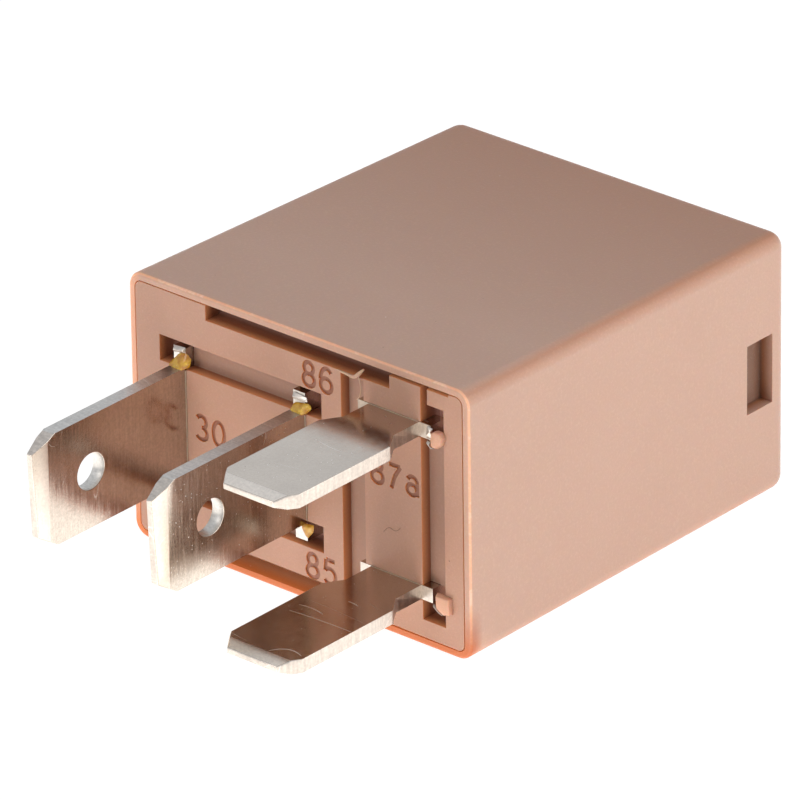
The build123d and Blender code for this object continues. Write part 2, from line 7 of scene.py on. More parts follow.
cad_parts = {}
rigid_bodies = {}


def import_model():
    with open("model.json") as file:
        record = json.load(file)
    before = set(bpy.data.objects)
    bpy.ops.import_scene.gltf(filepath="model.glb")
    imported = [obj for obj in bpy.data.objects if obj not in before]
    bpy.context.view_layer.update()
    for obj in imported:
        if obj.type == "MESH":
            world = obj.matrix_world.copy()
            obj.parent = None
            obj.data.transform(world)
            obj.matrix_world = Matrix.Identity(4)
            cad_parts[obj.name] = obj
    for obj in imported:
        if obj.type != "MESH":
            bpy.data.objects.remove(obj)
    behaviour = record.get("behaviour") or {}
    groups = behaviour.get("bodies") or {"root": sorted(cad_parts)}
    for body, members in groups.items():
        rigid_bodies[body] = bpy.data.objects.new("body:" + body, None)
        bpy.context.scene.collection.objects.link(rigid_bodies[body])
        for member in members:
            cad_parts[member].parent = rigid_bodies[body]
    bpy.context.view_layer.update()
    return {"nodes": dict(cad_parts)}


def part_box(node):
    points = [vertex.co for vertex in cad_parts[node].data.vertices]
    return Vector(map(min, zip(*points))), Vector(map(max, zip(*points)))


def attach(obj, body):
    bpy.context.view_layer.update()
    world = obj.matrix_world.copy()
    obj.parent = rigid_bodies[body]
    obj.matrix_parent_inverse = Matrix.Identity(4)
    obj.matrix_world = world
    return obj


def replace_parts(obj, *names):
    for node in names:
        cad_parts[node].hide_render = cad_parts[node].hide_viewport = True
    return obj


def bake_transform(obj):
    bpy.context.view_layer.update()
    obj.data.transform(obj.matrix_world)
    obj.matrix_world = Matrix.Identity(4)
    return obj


# A small automotive relay: matte brown moulded case and base, four tin-plated
# blades, and the works inside. Lengths are in millimetres and MM makes them
# metres. "Depth" is measured from the terminal face into the case.

for leftover in list(bpy.data.objects):
    bpy.data.objects.remove(leftover)
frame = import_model()
NODES = frame["nodes"]
MM = 0.001


# Places read from the model, and the sizes of small details

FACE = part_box("base")[0].y / MM
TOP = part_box("cover")[1].z / MM
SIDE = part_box("cover")[1].x / MM
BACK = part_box("cover")[1].y / MM
SIDE_DRAFT = 0.63
RIM_DEPTH = 0.30
STAMP_DEPTH = 0.10
STAMP_WIDTH = 0.25
STAMP_ADVANCE = 1.17
FIGURE_MIDDLE = 0.475
FACE_SLACK = 0.01
LIP_RADIUS = 0.05
BLADE_EDGE_RADIUS = 0.06
ROOT_MARGIN = 0.1
COINED_LENGTH = 1.4
HALF_BLADE = 0.4
SEAL_PROUD = 0.02
WIRE_RADIUS = 0.11
LEAF_STEP = 0.8

# Scratches on the lower narrow blade: both ends, the bow of the middle, and the width.
MARK_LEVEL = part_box("terminal_85")[1].z / MM
BLADE_MARKS = [((7.00, -23.12), (8.62, -22.52), (-0.15, 0.41), 0.06),
               ((4.83, -18.38), (6.47, -18.44), (0, 0.13), 0.05),
               ((4.88, -19.16), (8.85, -18.98), (0, 0.06), 0.05),
               ((6.53, -16.55), (7.24, -16.63), (0, 0.03), 0.05)]


# Colours, as linear red, green and blue

CASE_BROWN = (0.552, 0.340, 0.253)
# Painted shade inside the case's sides and on its rounded corners.
CASE_RECESS_SHADE = (0.36, 0.145, 0.065)
CASE_DEEP_RECESS_SHADE = (0.19, 0.095, 0.06)
CASE_CORNER_SHADE = (0.56, 0.25, 0.14)
CASE_GLOW = (0.85, 0.26, 0.07)
# Painted highlight on the rounded mouth edge, with paler broken glints.
MOUTH_EDGE_HIGHLIGHT = (0.90, 0.49, 0.30)
MOUTH_EDGE_PALE_GLINT = (0.98, 0.70, 0.54)
# Painted glow tint: deep orange low on the case, just behind its mouth.
MOUTH_LOW_GLOW_TINT = (0.44, 0.095, 0.015)
BASE_PINK = (0.515, 0.280, 0.192)
BASE_GLOW = (0.85, 0.44, 0.34)
# Painted shade on the base's groove floors, stamped strokes, walls and slots; painted light on its pocket
# floors; a painted orange glow at the lips of its walls.
GROOVE_FLOOR_SHADE = (0.395, 0.225, 0.160)
STROKE_FLOOR_SHADE = (0.27, 0.095, 0.05)
POCKET_FLOOR_PAINTED_LIGHT = (0.74, 0.44, 0.37)
SLOT_FLOOR_SHADE = (0.12, 0.065, 0.055)
LIP_WALL_GLOW = (0.78, 0.33, 0.13)
GROOVE_WALL_SHADE = (0.30, 0.100, 0.040)
POCKET_WALL_SHADE = (0.24, 0.115, 0.085)
SLOT_WALL_SHADE = (0.10, 0.05, 0.04)
PLASTIC_CLOUD = (0.40, 0.21, 0.14)
GRAIN_DARK = (0.28, 0.15, 0.10)
GRAIN_LIGHT = (0.95, 0.78, 0.66)
PLASTIC_DUST = (0.95, 0.86, 0.78)
PLASTIC_DIRT = (0.10, 0.05, 0.03)
AMBER_DEEP = (0.62, 0.26, 0.010)
AMBER_CLEAR = (0.90, 0.57, 0.06)
TIN = (0.60, 0.52, 0.44)
TIN_SHEARED = (0.61, 0.53, 0.46)
# A lighter, greyer copy of the sheared tin for the upright blades' edges: painted light.
TIN_SHEARED_UPRIGHT_PAINTED_LIGHT = (0.64, 0.60, 0.55)
# The coined tips' tin, lighter: partly its rougher coined face, partly a painted highlight.
TIN_COINED_AND_HIGHLIGHT = (0.77, 0.68, 0.59)
TIN_BRIGHT = (0.95, 0.92, 0.87)
TIN_DIRT = (0.16, 0.13, 0.11)
COPPER_DARK = (0.42, 0.12, 0.035)
COPPER_LIGHT = (0.58, 0.20, 0.07)
RESISTOR_BLUE = (0.12, 0.26, 0.34)
FLOOR_WHITE = (0.95, 0.94, 0.93)
LAMP_WHITE = (1.0, 0.985, 0.97)
ROOM_WHITE = (0.86, 0.92, 1.0)
AMBIENT_WHITE = (0.92, 0.96, 1.0)


# Shader helpers

def socket_of(node, name):
    """A node's enabled input socket by its name."""
    return next(s for s in node.inputs if s.name == name and s.enabled)


class Tree:
    """Adds and links the nodes of one shader tree."""

    def __init__(self, tree):
        self.tree = tree

    def add(self, kind, settings=None, **links):
        """A node with its settings; links give sockets or plain values by input name."""
        node = self.tree.nodes.new(kind)
        for name, value in (settings or {}).items():
            setattr(node, name, value)
        for name, value in links.items():
            self.join(value, socket_of(node, name.replace("_", " ")))
        return node

    def join(self, value, target):
        """Links a socket to a target, or sets the target's plain value; a colour gets its alpha."""
        if isinstance(value, bpy.types.NodeSocket):
            self.tree.links.new(value, target)
        elif target.type == "RGBA":
            target.default_value = (*value[:3], 1.0)
        else:
            target.default_value = value

    def math(self, operation, first, second=0.0):
        """One arithmetic step."""
        node = self.tree.nodes.new("ShaderNodeMath")
        node.operation = operation
        self.join(first, node.inputs[0])
        self.join(second, node.inputs[1])
        return node.outputs[0]

    def times(self, first, second):
        """The product of two values."""
        return self.math("MULTIPLY", first, second)

    def ramp(self, value, low, high, start=0.0, end=1.0):
        """Maps a value's range on to another, held at both ends."""
        node = self.tree.nodes.new("ShaderNodeMapRange")
        for name, part in (("Value", value), ("From Min", low), ("From Max", high),
                           ("To Min", start), ("To Max", end)):
            self.join(part, node.inputs[name])
        return node.outputs["Result"]

    def fade(self, value, low, high):
        """1 up to the low end of a range, falling to 0 at its high end."""
        return self.ramp(value, low, high, 1.0, 0.0)

    def mix(self, share, first, second):
        """Mixes two colours."""
        node = self.tree.nodes.new("ShaderNodeMix")
        node.data_type = "RGBA"
        self.join(share, node.inputs["Factor"])
        colours = [s for s in node.inputs if s.type == "RGBA"]
        self.join(first, colours[0])
        self.join(second, colours[1])
        return next(s for s in node.outputs if s.type == "RGBA")

    def noise(self, place, scale, detail=2.0, roughness=0.5):
        """Noise between 0 and 1; scale counts features a millimetre."""
        return self.add("ShaderNodeTexNoise", Vector=place, Scale=scale / MM, Detail=detail,
                        Roughness=roughness).outputs["Fac"]

    def axis(self, vector, index):
        """One part of a vector."""
        return self.add("ShaderNodeSeparateXYZ", Vector=vector).outputs[index]

    def use(self, group, **values):
        """Places a shader group with its values and gives its outputs."""
        node = self.tree.nodes.new("ShaderNodeGroup")
        node.node_tree = group
        for name, value in values.items():
            self.join(value, node.inputs[name.replace("_", " ")])
        return node.outputs


NUMBER = "NodeSocketFloat"
VECTOR = "NodeSocketVector"


def shader_group(name, inputs, outputs, build):
    """A shader node group with named inputs and outputs."""
    group = bpy.data.node_groups.new(name, "ShaderNodeTree")
    for label, kind, value in inputs:
        entry = group.interface.new_socket(name=label, in_out="INPUT", socket_type=kind)
        entry.default_value = value
    for label, kind in outputs:
        group.interface.new_socket(name=label, in_out="OUTPUT", socket_type=kind)
    tree = Tree(group)
    given = group.nodes.new("NodeGroupInput").outputs
    results = group.nodes.new("NodeGroupOutput").inputs
    for label, value in build(tree, tree.add("ShaderNodeTexCoord").outputs, given).items():
        tree.join(value, results[label])
    return group


def grain_group(tree, coordinates, given):
    """Fine moulded grain as a height, and slow cloudiness as a mask."""
    place = coordinates["Object"]
    fine = tree.add("ShaderNodeTexNoise", Vector=place, Detail=3.0, Roughness=0.65,
                    Scale=tree.math("DIVIDE", given["Grain Scale"], MM))
    slow = tree.add("ShaderNodeTexNoise", Vector=place, Detail=4.0, Roughness=0.6,
                    Scale=tree.math("DIVIDE", given["Cloud Scale"], MM))
    return {"Height": fine.outputs["Fac"], "Cloud": tree.ramp(slow.outputs["Fac"], 0.3, 0.7)}


def dust_group(tree, coordinates, given):
    """Sparse light specks, and sparser dark ones."""
    cells = tree.add("ShaderNodeTexVoronoi", Vector=coordinates["Object"],
                     Scale=tree.math("DIVIDE", given["Scale"], MM))
    spread = tree.add("ShaderNodeSeparateColor", Color=cells.outputs["Color"]).outputs
    size = tree.times(given["Size"], tree.ramp(spread[2], 0.0, 1.0, 0.4, 1.0))
    near = tree.math("LESS_THAN", cells.outputs["Distance"], size)
    speck = tree.times(near, tree.math("LESS_THAN", spread[0], given["Share"]))
    dark = tree.math("LESS_THAN", spread[1], given["Dark Share"])
    return {"Light": tree.times(speck, tree.math("SUBTRACT", 1.0, dark)),
            "Dark": tree.times(speck, dark)}


def rolling_group(tree, coordinates, given):
    """Rolling grain drawn out along one axis, and a few single scratches."""
    place = coordinates["Object"]
    drawn = tree.add("ShaderNodeVectorMath", {"operation": "MULTIPLY"})
    tree.join(place, drawn.inputs[0])
    tree.join(given["Stretch"], drawn.inputs[1])
    lines = tree.add("ShaderNodeTexNoise", Vector=drawn.outputs[0], Detail=3.0, Roughness=0.6,
                     Scale=tree.math("DIVIDE", given["Scale"], MM))
    sweep = tree.add("ShaderNodeVectorMath", {"operation": "MULTIPLY"})
    tree.join(place, sweep.inputs[0])
    tree.join(given["Scratch Stretch"], sweep.inputs[1])
    bends = tree.add("ShaderNodeTexNoise", Vector=sweep.outputs[0], Detail=0.0, Scale=0.45 / MM)
    ridge = tree.math("ABSOLUTE", tree.math("SUBTRACT", bends.outputs["Fac"], 0.5))
    scratch = tree.fade(ridge, 0.0, given["Scratch Width"])
    worn = tree.ramp(tree.noise(place, 0.4, 1.0), 0.52, 0.60)
    return {"Lines": lines.outputs["Fac"], "Scratch": tree.times(scratch, worn)}


def recess_group(tree, coordinates, given):
    """Depth behind the terminal face, and masks for walls, rounded mouth edges and corners."""
    depth = tree.math("SUBTRACT", tree.axis(coordinates["Object"], 1), FACE * MM)
    depth = tree.math("DIVIDE", depth, MM)
    level = tree.math("ABSOLUTE", tree.axis(coordinates["Normal"], 1))
    edge = tree.times(tree.ramp(level, 0.30, 0.55), tree.fade(level, 0.80, 0.97))
    lift = tree.math("ABSOLUTE", tree.axis(coordinates["Normal"], 2))
    corner = tree.times(tree.ramp(lift, 0.12, 0.45), tree.fade(lift, 0.80, 0.98))
    return {"Depth": depth, "Wall": tree.fade(level, 0.35, 0.9), "Edge": edge,
            "Corner": tree.times(corner, tree.fade(level, 0.1, 0.4))}


def mark_group(tree, coordinates, given):
    """One bowed scratch between two points of a flat face, thinning out to both ends."""
    def vector(operation, first, second):
        node = tree.add("ShaderNodeVectorMath", {"operation": operation})
        tree.join(first, node.inputs[0])
        tree.join(second, node.inputs[1])
        number = operation in ("DOT_PRODUCT", "DISTANCE")
        return node.outputs["Value" if number else "Vector"]

    span = vector("SUBTRACT", given["End"], given["Start"])
    reach = vector("SUBTRACT", coordinates["Object"], given["Start"])
    share = tree.math("DIVIDE", vector("DOT_PRODUCT", reach, span),
                      vector("DOT_PRODUCT", span, span))
    share = tree.ramp(share, 0.0, 1.0)
    thin = tree.times(tree.times(share, tree.math("SUBTRACT", 1.0, share)), 4.0)
    bowed = tree.add("ShaderNodeVectorMath", {"operation": "SCALE"}, Vector=given["Bow"], Scale=thin)
    along = tree.add("ShaderNodeVectorMath", {"operation": "SCALE"}, Vector=span, Scale=share)
    point = vector("ADD", vector("ADD", given["Start"], along.outputs[0]), bowed.outputs[0])
    gap = tree.math("DIVIDE", vector("DISTANCE", coordinates["Object"], point), MM)
    width = tree.times(given["Width"], tree.ramp(thin, 0.0, 0.6, 0.4, 1.0))
    return {"Mark": tree.fade(gap, 0.0, width)}


def inset_group(tree, coordinates, given):
    """How far a point lies inside the case's outer sides, in millimetres."""
    place = coordinates["Object"]
    x, y, z = (tree.math("DIVIDE", tree.axis(place, index), MM) for index in range(3))
    depth = tree.math("SUBTRACT", y, FACE)
    side = tree.math("SUBTRACT", SIDE, tree.times(depth, tan(radians(SIDE_DRAFT))))
    nearest = tree.math("SUBTRACT", side, tree.math("ABSOLUTE", x))
    for other in (depth, tree.math("SUBTRACT", BACK, y), z, tree.math("SUBTRACT", TOP, z)):
        nearest = tree.math("MINIMUM", nearest, other)
    return {"Inset": nearest}


GRAIN = shader_group("moulded_grain", [("Grain Scale", NUMBER, 9.0), ("Cloud Scale", NUMBER, 0.12)],
                     [("Height", NUMBER), ("Cloud", NUMBER)], grain_group)
DUST = shader_group("dust", [("Scale", NUMBER, 1.2), ("Size", NUMBER, 0.1), ("Share", NUMBER, 0.1),
                             ("Dark Share", NUMBER, 0.2)],
                    [("Light", NUMBER), ("Dark", NUMBER)], dust_group)
ROLLING = shader_group("rolling", [("Scale", NUMBER, 6.0), ("Stretch", VECTOR, (1, 1, 1)),
                                   ("Scratch Stretch", VECTOR, (1, 1, 1)),
                                   ("Scratch Width", NUMBER, 0.004)],
                       [("Lines", NUMBER), ("Scratch", NUMBER)], rolling_group)
RECESS = shader_group("recess", [], [("Depth", NUMBER), ("Wall", NUMBER), ("Edge", NUMBER),
                                     ("Corner", NUMBER)], recess_group)
MARK = shader_group("scratch_mark", [("Start", VECTOR, (0, 0, 0)), ("End", VECTOR, (0, 0, 0)),
                                     ("Bow", VECTOR, (0, 0, 0)), ("Width", NUMBER, 0.05)],
                    [("Mark", NUMBER)], mark_group)
INSET = shader_group("inset", [], [("Inset", NUMBER)], inset_group)


def new_material(name):
    """A material with its Principled shader and the helper for its tree."""
    material = bpy.data.materials.new(name)
    material.use_nodes = True
    tree = Tree(material.node_tree)
    return material, tree, material.node_tree.nodes["Principled BSDF"].inputs


def bump(tree, height, strength, distance):
    """A bump from a height; distance is in millimetres."""
    return tree.add("ShaderNodeBump", Height=height, Strength=strength,
                    Distance=distance * MM).outputs[0]


def scaled(point):
    """A point or offset given in millimetres, in metres."""
    return [part * MM for part in point]


def dimmed(colour, share):
    """A share of a colour."""
    return tuple(share * part for part in colour)


def plastic_skin(tree, shader, colour, grain_scale, speck_share, glow):
    """Matte moulded plastic over a colour: grain, dust and light through thin edges."""
    skin = tree.use(GRAIN, Grain_Scale=grain_scale, Cloud_Scale=0.16)
    specks = tree.use(DUST, Scale=1.3, Size=0.06, Share=speck_share, Dark_Share=0.35)
    colour = tree.mix(tree.times(skin["Cloud"], 0.09), colour, PLASTIC_CLOUD)
    colour = tree.mix(tree.ramp(skin["Height"], 0.38, 0.62, 0.09, 0.0), colour, GRAIN_DARK)
    colour = tree.mix(tree.ramp(skin["Height"], 0.55, 0.70, 0.0, 0.05), colour, GRAIN_LIGHT)
    colour = tree.mix(tree.times(specks["Light"], 0.45), colour, PLASTIC_DUST)
    colour = tree.mix(tree.times(specks["Dark"], 0.50), colour, PLASTIC_DIRT)
    tree.join(colour, shader["Base Color"])
    tree.join(tree.ramp(skin["Height"], 0.3, 0.7, 0.46, 0.62), shader["Roughness"])
    tree.join(bump(tree, skin["Height"], 0.60, 0.030), shader["Normal"])
    shader["Specular IOR Level"].default_value = 0.5
    shader["Subsurface Weight"].default_value = glow
    shader["Subsurface Radius"].default_value = (1.0, 0.30, 0.10)
    shader["Subsurface Scale"].default_value = 0.45 * MM


def shine_through(tree, shader, share, colour):
    """Light that reaches a thin wall from behind: a share of a colour given off by the surface."""
    tree.join(tree.mix(share, (0, 0, 0), colour), shader["Emission Color"])
    shader["Emission Strength"].default_value = 1.0


def cover_material():
    """The case: an even brown, with painted shade in its recesses and on its rounded corners, a painted
    highlight on its mouth's edge, a painted orange glow tint low on the mouth, and a painted glow low down.
    """
    material, tree, shader = new_material("cover_plastic")
    place = tree.add("ShaderNodeTexCoord").outputs["Object"]
    recess = tree.use(RECESS)
    depth, height = recess["Depth"], tree.axis(place, 2)
    inset = tree.use(INSET)["Inset"]
    # Painted shade: the case darkens inwards from its outer sides, most in its deep recesses.
    colour = tree.mix(tree.ramp(inset, 0.10, 0.60), CASE_BROWN, CASE_RECESS_SHADE)
    colour = tree.mix(tree.ramp(inset, 0.62, 0.84), colour, CASE_DEEP_RECESS_SHADE)
    # Painted highlight: a light line on the rounded mouth edge, broken by noise into paler glints.
    edge = tree.times(recess["Edge"], tree.fade(depth, RIM_DEPTH, 0.5))
    colour = tree.mix(tree.times(edge, 0.9), colour, MOUTH_EDGE_HIGHLIGHT)
    broken_highlight = tree.ramp(tree.noise(place, 0.9, 3.0, 0.7), 0.50, 0.58)
    colour = tree.mix(tree.times(tree.times(edge, broken_highlight), 0.55), colour, MOUTH_EDGE_PALE_GLINT)
    # Painted shade: the rounded long corners are tinted a deeper orange.
    colour = tree.mix(tree.times(recess["Corner"], 0.42), colour, CASE_CORNER_SHADE)
    # Painted glow tint: deep orange low down just behind the mouth, where light from below shines through
    # the plastic.
    low = tree.fade(height, 0.6 * MM, 3.0 * MM)
    mouth = tree.fade(depth, RIM_DEPTH, 3 * RIM_DEPTH)
    colour = tree.mix(tree.times(low, mouth), colour, MOUTH_LOW_GLOW_TINT)
    plastic_skin(tree, shader, colour, 6.5, 0.16, 0.30)
    lit = tree.times(tree.ramp(height, 0.2 * MM, 1.1 * MM, 1.0, 0.25), tree.fade(depth, 0.3, 2.2))
    lit = tree.times(lit, tree.fade(height, 1.2 * MM, 1.6 * MM))
    left = tree.ramp(tree.axis(place, 0), -SIDE * MM, (0.9 - SIDE) * MM, 0.42, 0.0)
    left = tree.times(left, tree.fade(depth, 0.1, 1.2))
    rim = tree.times(tree.fade(depth, 0.0, RIM_DEPTH), 0.06)
    glow = tree.math("ADD", tree.times(lit, 0.22), tree.math("ADD", left, rim))
    shine_through(tree, shader, glow, CASE_GLOW)
    return material


def base_material():
    """The base: pinkish faces, with painted shade that darkens its groove floors, stamped strokes, walls
    and slots, painted light on its pocket floors, and a painted orange glow at the lips of its walls and in
    its pockets.
    """
    material, tree, shader = new_material("base_plastic")
    recess = tree.use(RECESS)
    depth = recess["Depth"]
    # Painted shade: the floors of the stamped strokes are darkened.
    stroke_shade = tree.times(tree.ramp(depth, 0.02, 0.07), tree.ramp(depth, 0.14, 0.20, 0.92, 0.0))
    # Painted shade: the floors turn darker and greyer with depth, and near black deep in the slots.
    floor = tree.mix(tree.ramp(depth, 0.25, 0.60), BASE_PINK, GROOVE_FLOOR_SHADE)
    floor = tree.mix(stroke_shade, floor, STROKE_FLOOR_SHADE)
    # Painted light: the pocket floors are lightened.
    floor = tree.mix(tree.ramp(depth, 0.8, 1.1), floor, POCKET_FLOOR_PAINTED_LIGHT)
    floor = tree.mix(tree.ramp(depth, 1.7, 2.6), floor, SLOT_FLOOR_SHADE)
    # Painted glow and shade on the walls: bright orange at the lip, darkening with depth to near black in
    # the slots.
    wall = tree.mix(tree.ramp(depth, 0.0, 0.55), LIP_WALL_GLOW, GROOVE_WALL_SHADE)
    wall = tree.mix(tree.ramp(depth, 0.6, 1.4), wall, POCKET_WALL_SHADE)
    wall = tree.mix(tree.ramp(depth, 1.6, 2.4), wall, SLOT_WALL_SHADE)
    colour = tree.mix(recess["Wall"], floor, wall)
    plastic_skin(tree, shader, colour, 8.0, 0.16, 0.30)
    pocket = tree.times(tree.ramp(depth, 1.0, 1.35), tree.ramp(depth, 1.6, 2.0, 0.09, 0.0))
    shine_through(tree, shader, pocket, BASE_GLOW)
    return material


def scrap_material(name, colour):
    """Torn, staked or smeared plastic, and the fibre: one colour without dust."""
    material, tree, shader = new_material(name)
    plastic_skin(tree, shader, colour, 14.0, 0.0, 0.4)
    return material


def resin_material():
    """Clear amber resin that seals a blade into the base."""
    material, tree, shader = new_material("amber_resin")
    place = tree.add("ShaderNodeTexCoord").outputs["Object"]
    cloud = tree.noise(place, 2.6, 3.0)
    tree.join(tree.mix(tree.ramp(cloud, 0.35, 0.65), AMBER_DEEP, AMBER_CLEAR), shader["Base Color"])
    tree.join(tree.ramp(cloud, 0.3, 0.7, 0.12, 0.30), shader["Roughness"])
    tree.join(bump(tree, cloud, 0.5, 0.03), shader["Normal"])
    shader["Transmission Weight"].default_value = 0.22
    shader["Subsurface Weight"].default_value = 0.3
    shader["Subsurface Radius"].default_value = (1.0, 0.6, 0.1)
    shader["Subsurface Scale"].default_value = 0.2 * MM
    return material


def tinned(name, tone, stretch, scratch_stretch, roughness, ridge, grit=0.2, streak=0.0, wear=1.0,
           marks=()):
    """Tin plating over rolled brass: satin grain, scratches, marks, grit and dull patches."""
    material, tree, shader = new_material(name)
    place = tree.add("ShaderNodeTexCoord").outputs["Object"]
    rolled = tree.use(ROLLING, Scale=1.6, Stretch=stretch, Scratch_Stretch=scratch_stretch)
    specks = tree.use(DUST, Scale=4.2, Size=0.14, Share=0.26, Dark_Share=0.3)
    mottle = tree.noise(place, 7.0, 2.0, 0.7)
    dull = tree.ramp(tree.noise(place, 0.5, 4.0), 0.35, 0.7)
    colour = tree.mix(dull, tone, dimmed(tone, 0.92))
    dark = dimmed(tone, 0.45)
    colour = tree.mix(tree.ramp(mottle, 0.35, 0.65, grit, 0.0), colour, dark)
    colour = tree.mix(tree.ramp(rolled["Lines"], 0.38, 0.62, streak, 0.0), colour, dark)
    marked = tree.times(rolled["Scratch"], wear)
    for start, end, bow, width in marks:
        mark = tree.use(MARK, Start=scaled((*start, MARK_LEVEL)), End=scaled((*end, MARK_LEVEL)),
                        Bow=scaled((*bow, 0)), Width=width)["Mark"]
        marked = tree.math("MAXIMUM", marked, mark)
    lighter = tree.math("MAXIMUM", tree.times(marked, 0.62), tree.times(specks["Light"], 0.35))
    colour = tree.mix(lighter, colour, TIN_BRIGHT)
    colour = tree.mix(tree.times(specks["Dark"], 0.5), colour, TIN_DIRT)
    tree.join(colour, shader["Base Color"])
    shader["Metallic"].default_value = 1.0
    worn = tree.math("ADD", tree.times(marked, 0.35), tree.times(specks["Light"], 0.20))
    satin = tree.ramp(rolled["Lines"], 0.3, 0.7, roughness - 0.03, roughness + 0.05)
    tree.join(tree.math("ADD", satin, worn), shader["Roughness"])
    height = tree.math("ADD", rolled["Lines"], tree.times(mottle, 0.35))
    height = tree.math("SUBTRACT", height, tree.times(marked, 0.35))
    tree.join(bump(tree, height, ridge, 0.006), shader["Normal"])
    return material


def plain_metal(name, tone, roughness, stretch=(1, 1, 1)):
    """A satin metal with a slight grain."""
    material, tree, shader = new_material(name)
    rolled = tree.use(ROLLING, Scale=3.0, Stretch=stretch, Scratch_Stretch=stretch)
    colour = tree.mix(tree.times(rolled["Lines"], 0.5), tone, dimmed(tone, 0.75))
    tree.join(colour, shader["Base Color"])
    shader["Metallic"].default_value = 1.0
    tree.join(tree.ramp(rolled["Lines"], 0.3, 0.7, roughness - 0.06, roughness + 0.08), shader["Roughness"])
    tree.join(bump(tree, rolled["Lines"], 0.2, 0.01), shader["Normal"])
    return material


def plain_plastic(name, colour, roughness, glow=0.0):
    """A smooth plastic with a slight cloudiness."""
    material, tree, shader = new_material(name)
    skin = tree.use(GRAIN, Grain_Scale=4.0, Cloud_Scale=0.5)
    clouded = tree.mix(tree.times(skin["Cloud"], 0.3), colour, dimmed(colour, 0.8))
    tree.join(clouded, shader["Base Color"])
    tree.join(tree.ramp(skin["Height"], 0.3, 0.7, roughness - 0.05, roughness + 0.08), shader["Roughness"])
    tree.join(bump(tree, skin["Height"], 0.15, 0.01), shader["Normal"])
    shader["Subsurface Weight"].default_value = glow
    shader["Subsurface Radius"].default_value = (1.0, 0.8, 0.6)
    shader["Subsurface Scale"].default_value = 0.4 * MM
    return material


def banded(name, middle, colours, pitch):
    """A lacquered resistor with plain colour bands across its length, along Z."""
    material, tree, shader = new_material(name)
    place = tree.add("ShaderNodeTexCoord").outputs["Object"]
    skin = tree.use(GRAIN, Grain_Scale=3.0, Cloud_Scale=0.5)
    along = tree.math("DIVIDE", tree.math("SUBTRACT", tree.axis(place, 2), middle * MM), MM)
    half_band = pitch * 0.28
    colour = RESISTOR_BLUE
    for index, band in enumerate(colours):
        offset = tree.math("SUBTRACT", along, (index - (len(colours) - 1) / 2) * pitch)
        inside = tree.math("LESS_THAN", tree.math("ABSOLUTE", offset), half_band)
        colour = tree.mix(inside, colour, band)
    tree.join(colour, shader["Base Color"])
    tree.join(tree.ramp(skin["Height"], 0.3, 0.7, 0.18, 0.30), shader["Roughness"])
    tree.join(bump(tree, skin["Height"], 0.2, 0.02), shader["Normal"])
    shader["Coat Weight"].default_value = 0.4
    return material


def copper_wire():
    """Enamelled copper: a coloured metal under a clear coat."""
    material, tree, shader = new_material("enamelled_copper")
    place = tree.add("ShaderNodeTexCoord").outputs["Object"]
    slow = tree.noise(place, 0.8, 2.0)
    tree.join(tree.mix(slow, COPPER_DARK, COPPER_LIGHT), shader["Base Color"])
    shader["Metallic"].default_value = 0.85
    tree.join(tree.ramp(slow, 0.3, 0.7, 0.22, 0.34), shader["Roughness"])
    tree.join(bump(tree, tree.noise(place, 6.0), 0.15, 0.01), shader["Normal"])
    shader["Coat Weight"].default_value = 0.6
    return material


COVER_PLASTIC = cover_material()
BASE_PLASTIC = base_material()
STAKED_PLASTIC = scrap_material("staked_plastic", (0.70, 0.38, 0.25))
FLASH_PLASTIC = scrap_material("flash_plastic", (0.66, 0.42, 0.28))
RESIN = resin_material()
UPRIGHT_TIN = tinned("upright_blade_tin", TIN, (1.0, 5.0, 0.35), (1.0, 1.0, 0.35), roughness=0.18,
                     ridge=0.42, grit=0.34, streak=0.24, wear=0.3)
FLAT_ROLLING = {"stretch": (1.6, 1.6, 1.6), "scratch_stretch": (0.28, 1.1, 1.0), "roughness": 0.17,
                "ridge": 0.25, "grit": 0.12}
FLAT_TIN = tinned("flat_blade_tin", TIN, **FLAT_ROLLING)
MARKED_TIN = tinned("marked_blade_tin", TIN, **FLAT_ROLLING, marks=BLADE_MARKS)
SHEARED_TIN = tinned("sheared_edge_tin", TIN_SHEARED, (0.8, 4.0, 0.4), (1, 1, 1), roughness=0.32,
                     ridge=1.0, grit=0.35, streak=0.35)
# Painted light: the upright blades' sheared edges get a lighter copy of the sheared tin.
SHEARED_UPRIGHT_PAINTED_LIGHT = tinned("sheared_edge_upright_painted_light", TIN_SHEARED_UPRIGHT_PAINTED_LIGHT, (0.6, 5.0, 0.6), (1, 1, 1),
                         roughness=0.36, ridge=0.8, grit=0.35, streak=0.30)
# Partly a painted highlight: the coined tip bevels are lighter than the plating.
COINED_TIN_AND_HIGHLIGHT = tinned("coined_tip_tin_and_highlight", TIN_COINED_AND_HIGHLIGHT, (1.0, 3.0, 1.0), (1, 1, 1), roughness=0.32,
                    ridge=0.6, grit=0.25)
PLATED_IRON = plain_metal("plated_iron", (0.56, 0.56, 0.54), 0.30, (0.4, 2.0, 2.0))


# Mesh helpers

def linked(name, data):
    """A new object for a mesh, curve, lamp or camera, in the scene."""
    piece = bpy.data.objects.new(name, data)
    bpy.context.scene.collection.objects.link(piece)
    return piece


def clean_copy(node, name):
    """A copy of a CAD node's mesh with its loose triangles merged."""
    mesh = NODES[node].data.copy()
    mesh.name = name
    work = bmesh.new()
    work.from_mesh(mesh)
    bmesh.ops.remove_doubles(work, verts=work.verts, dist=0.0005 * MM)
    bmesh.ops.dissolve_limit(work, angle_limit=radians(0.4), verts=work.verts, edges=work.edges,
                             delimit={"NORMAL"})
    bmesh.ops.recalc_face_normals(work, faces=work.faces)
    work.to_mesh(mesh)
    work.free()
    return linked(name, mesh)


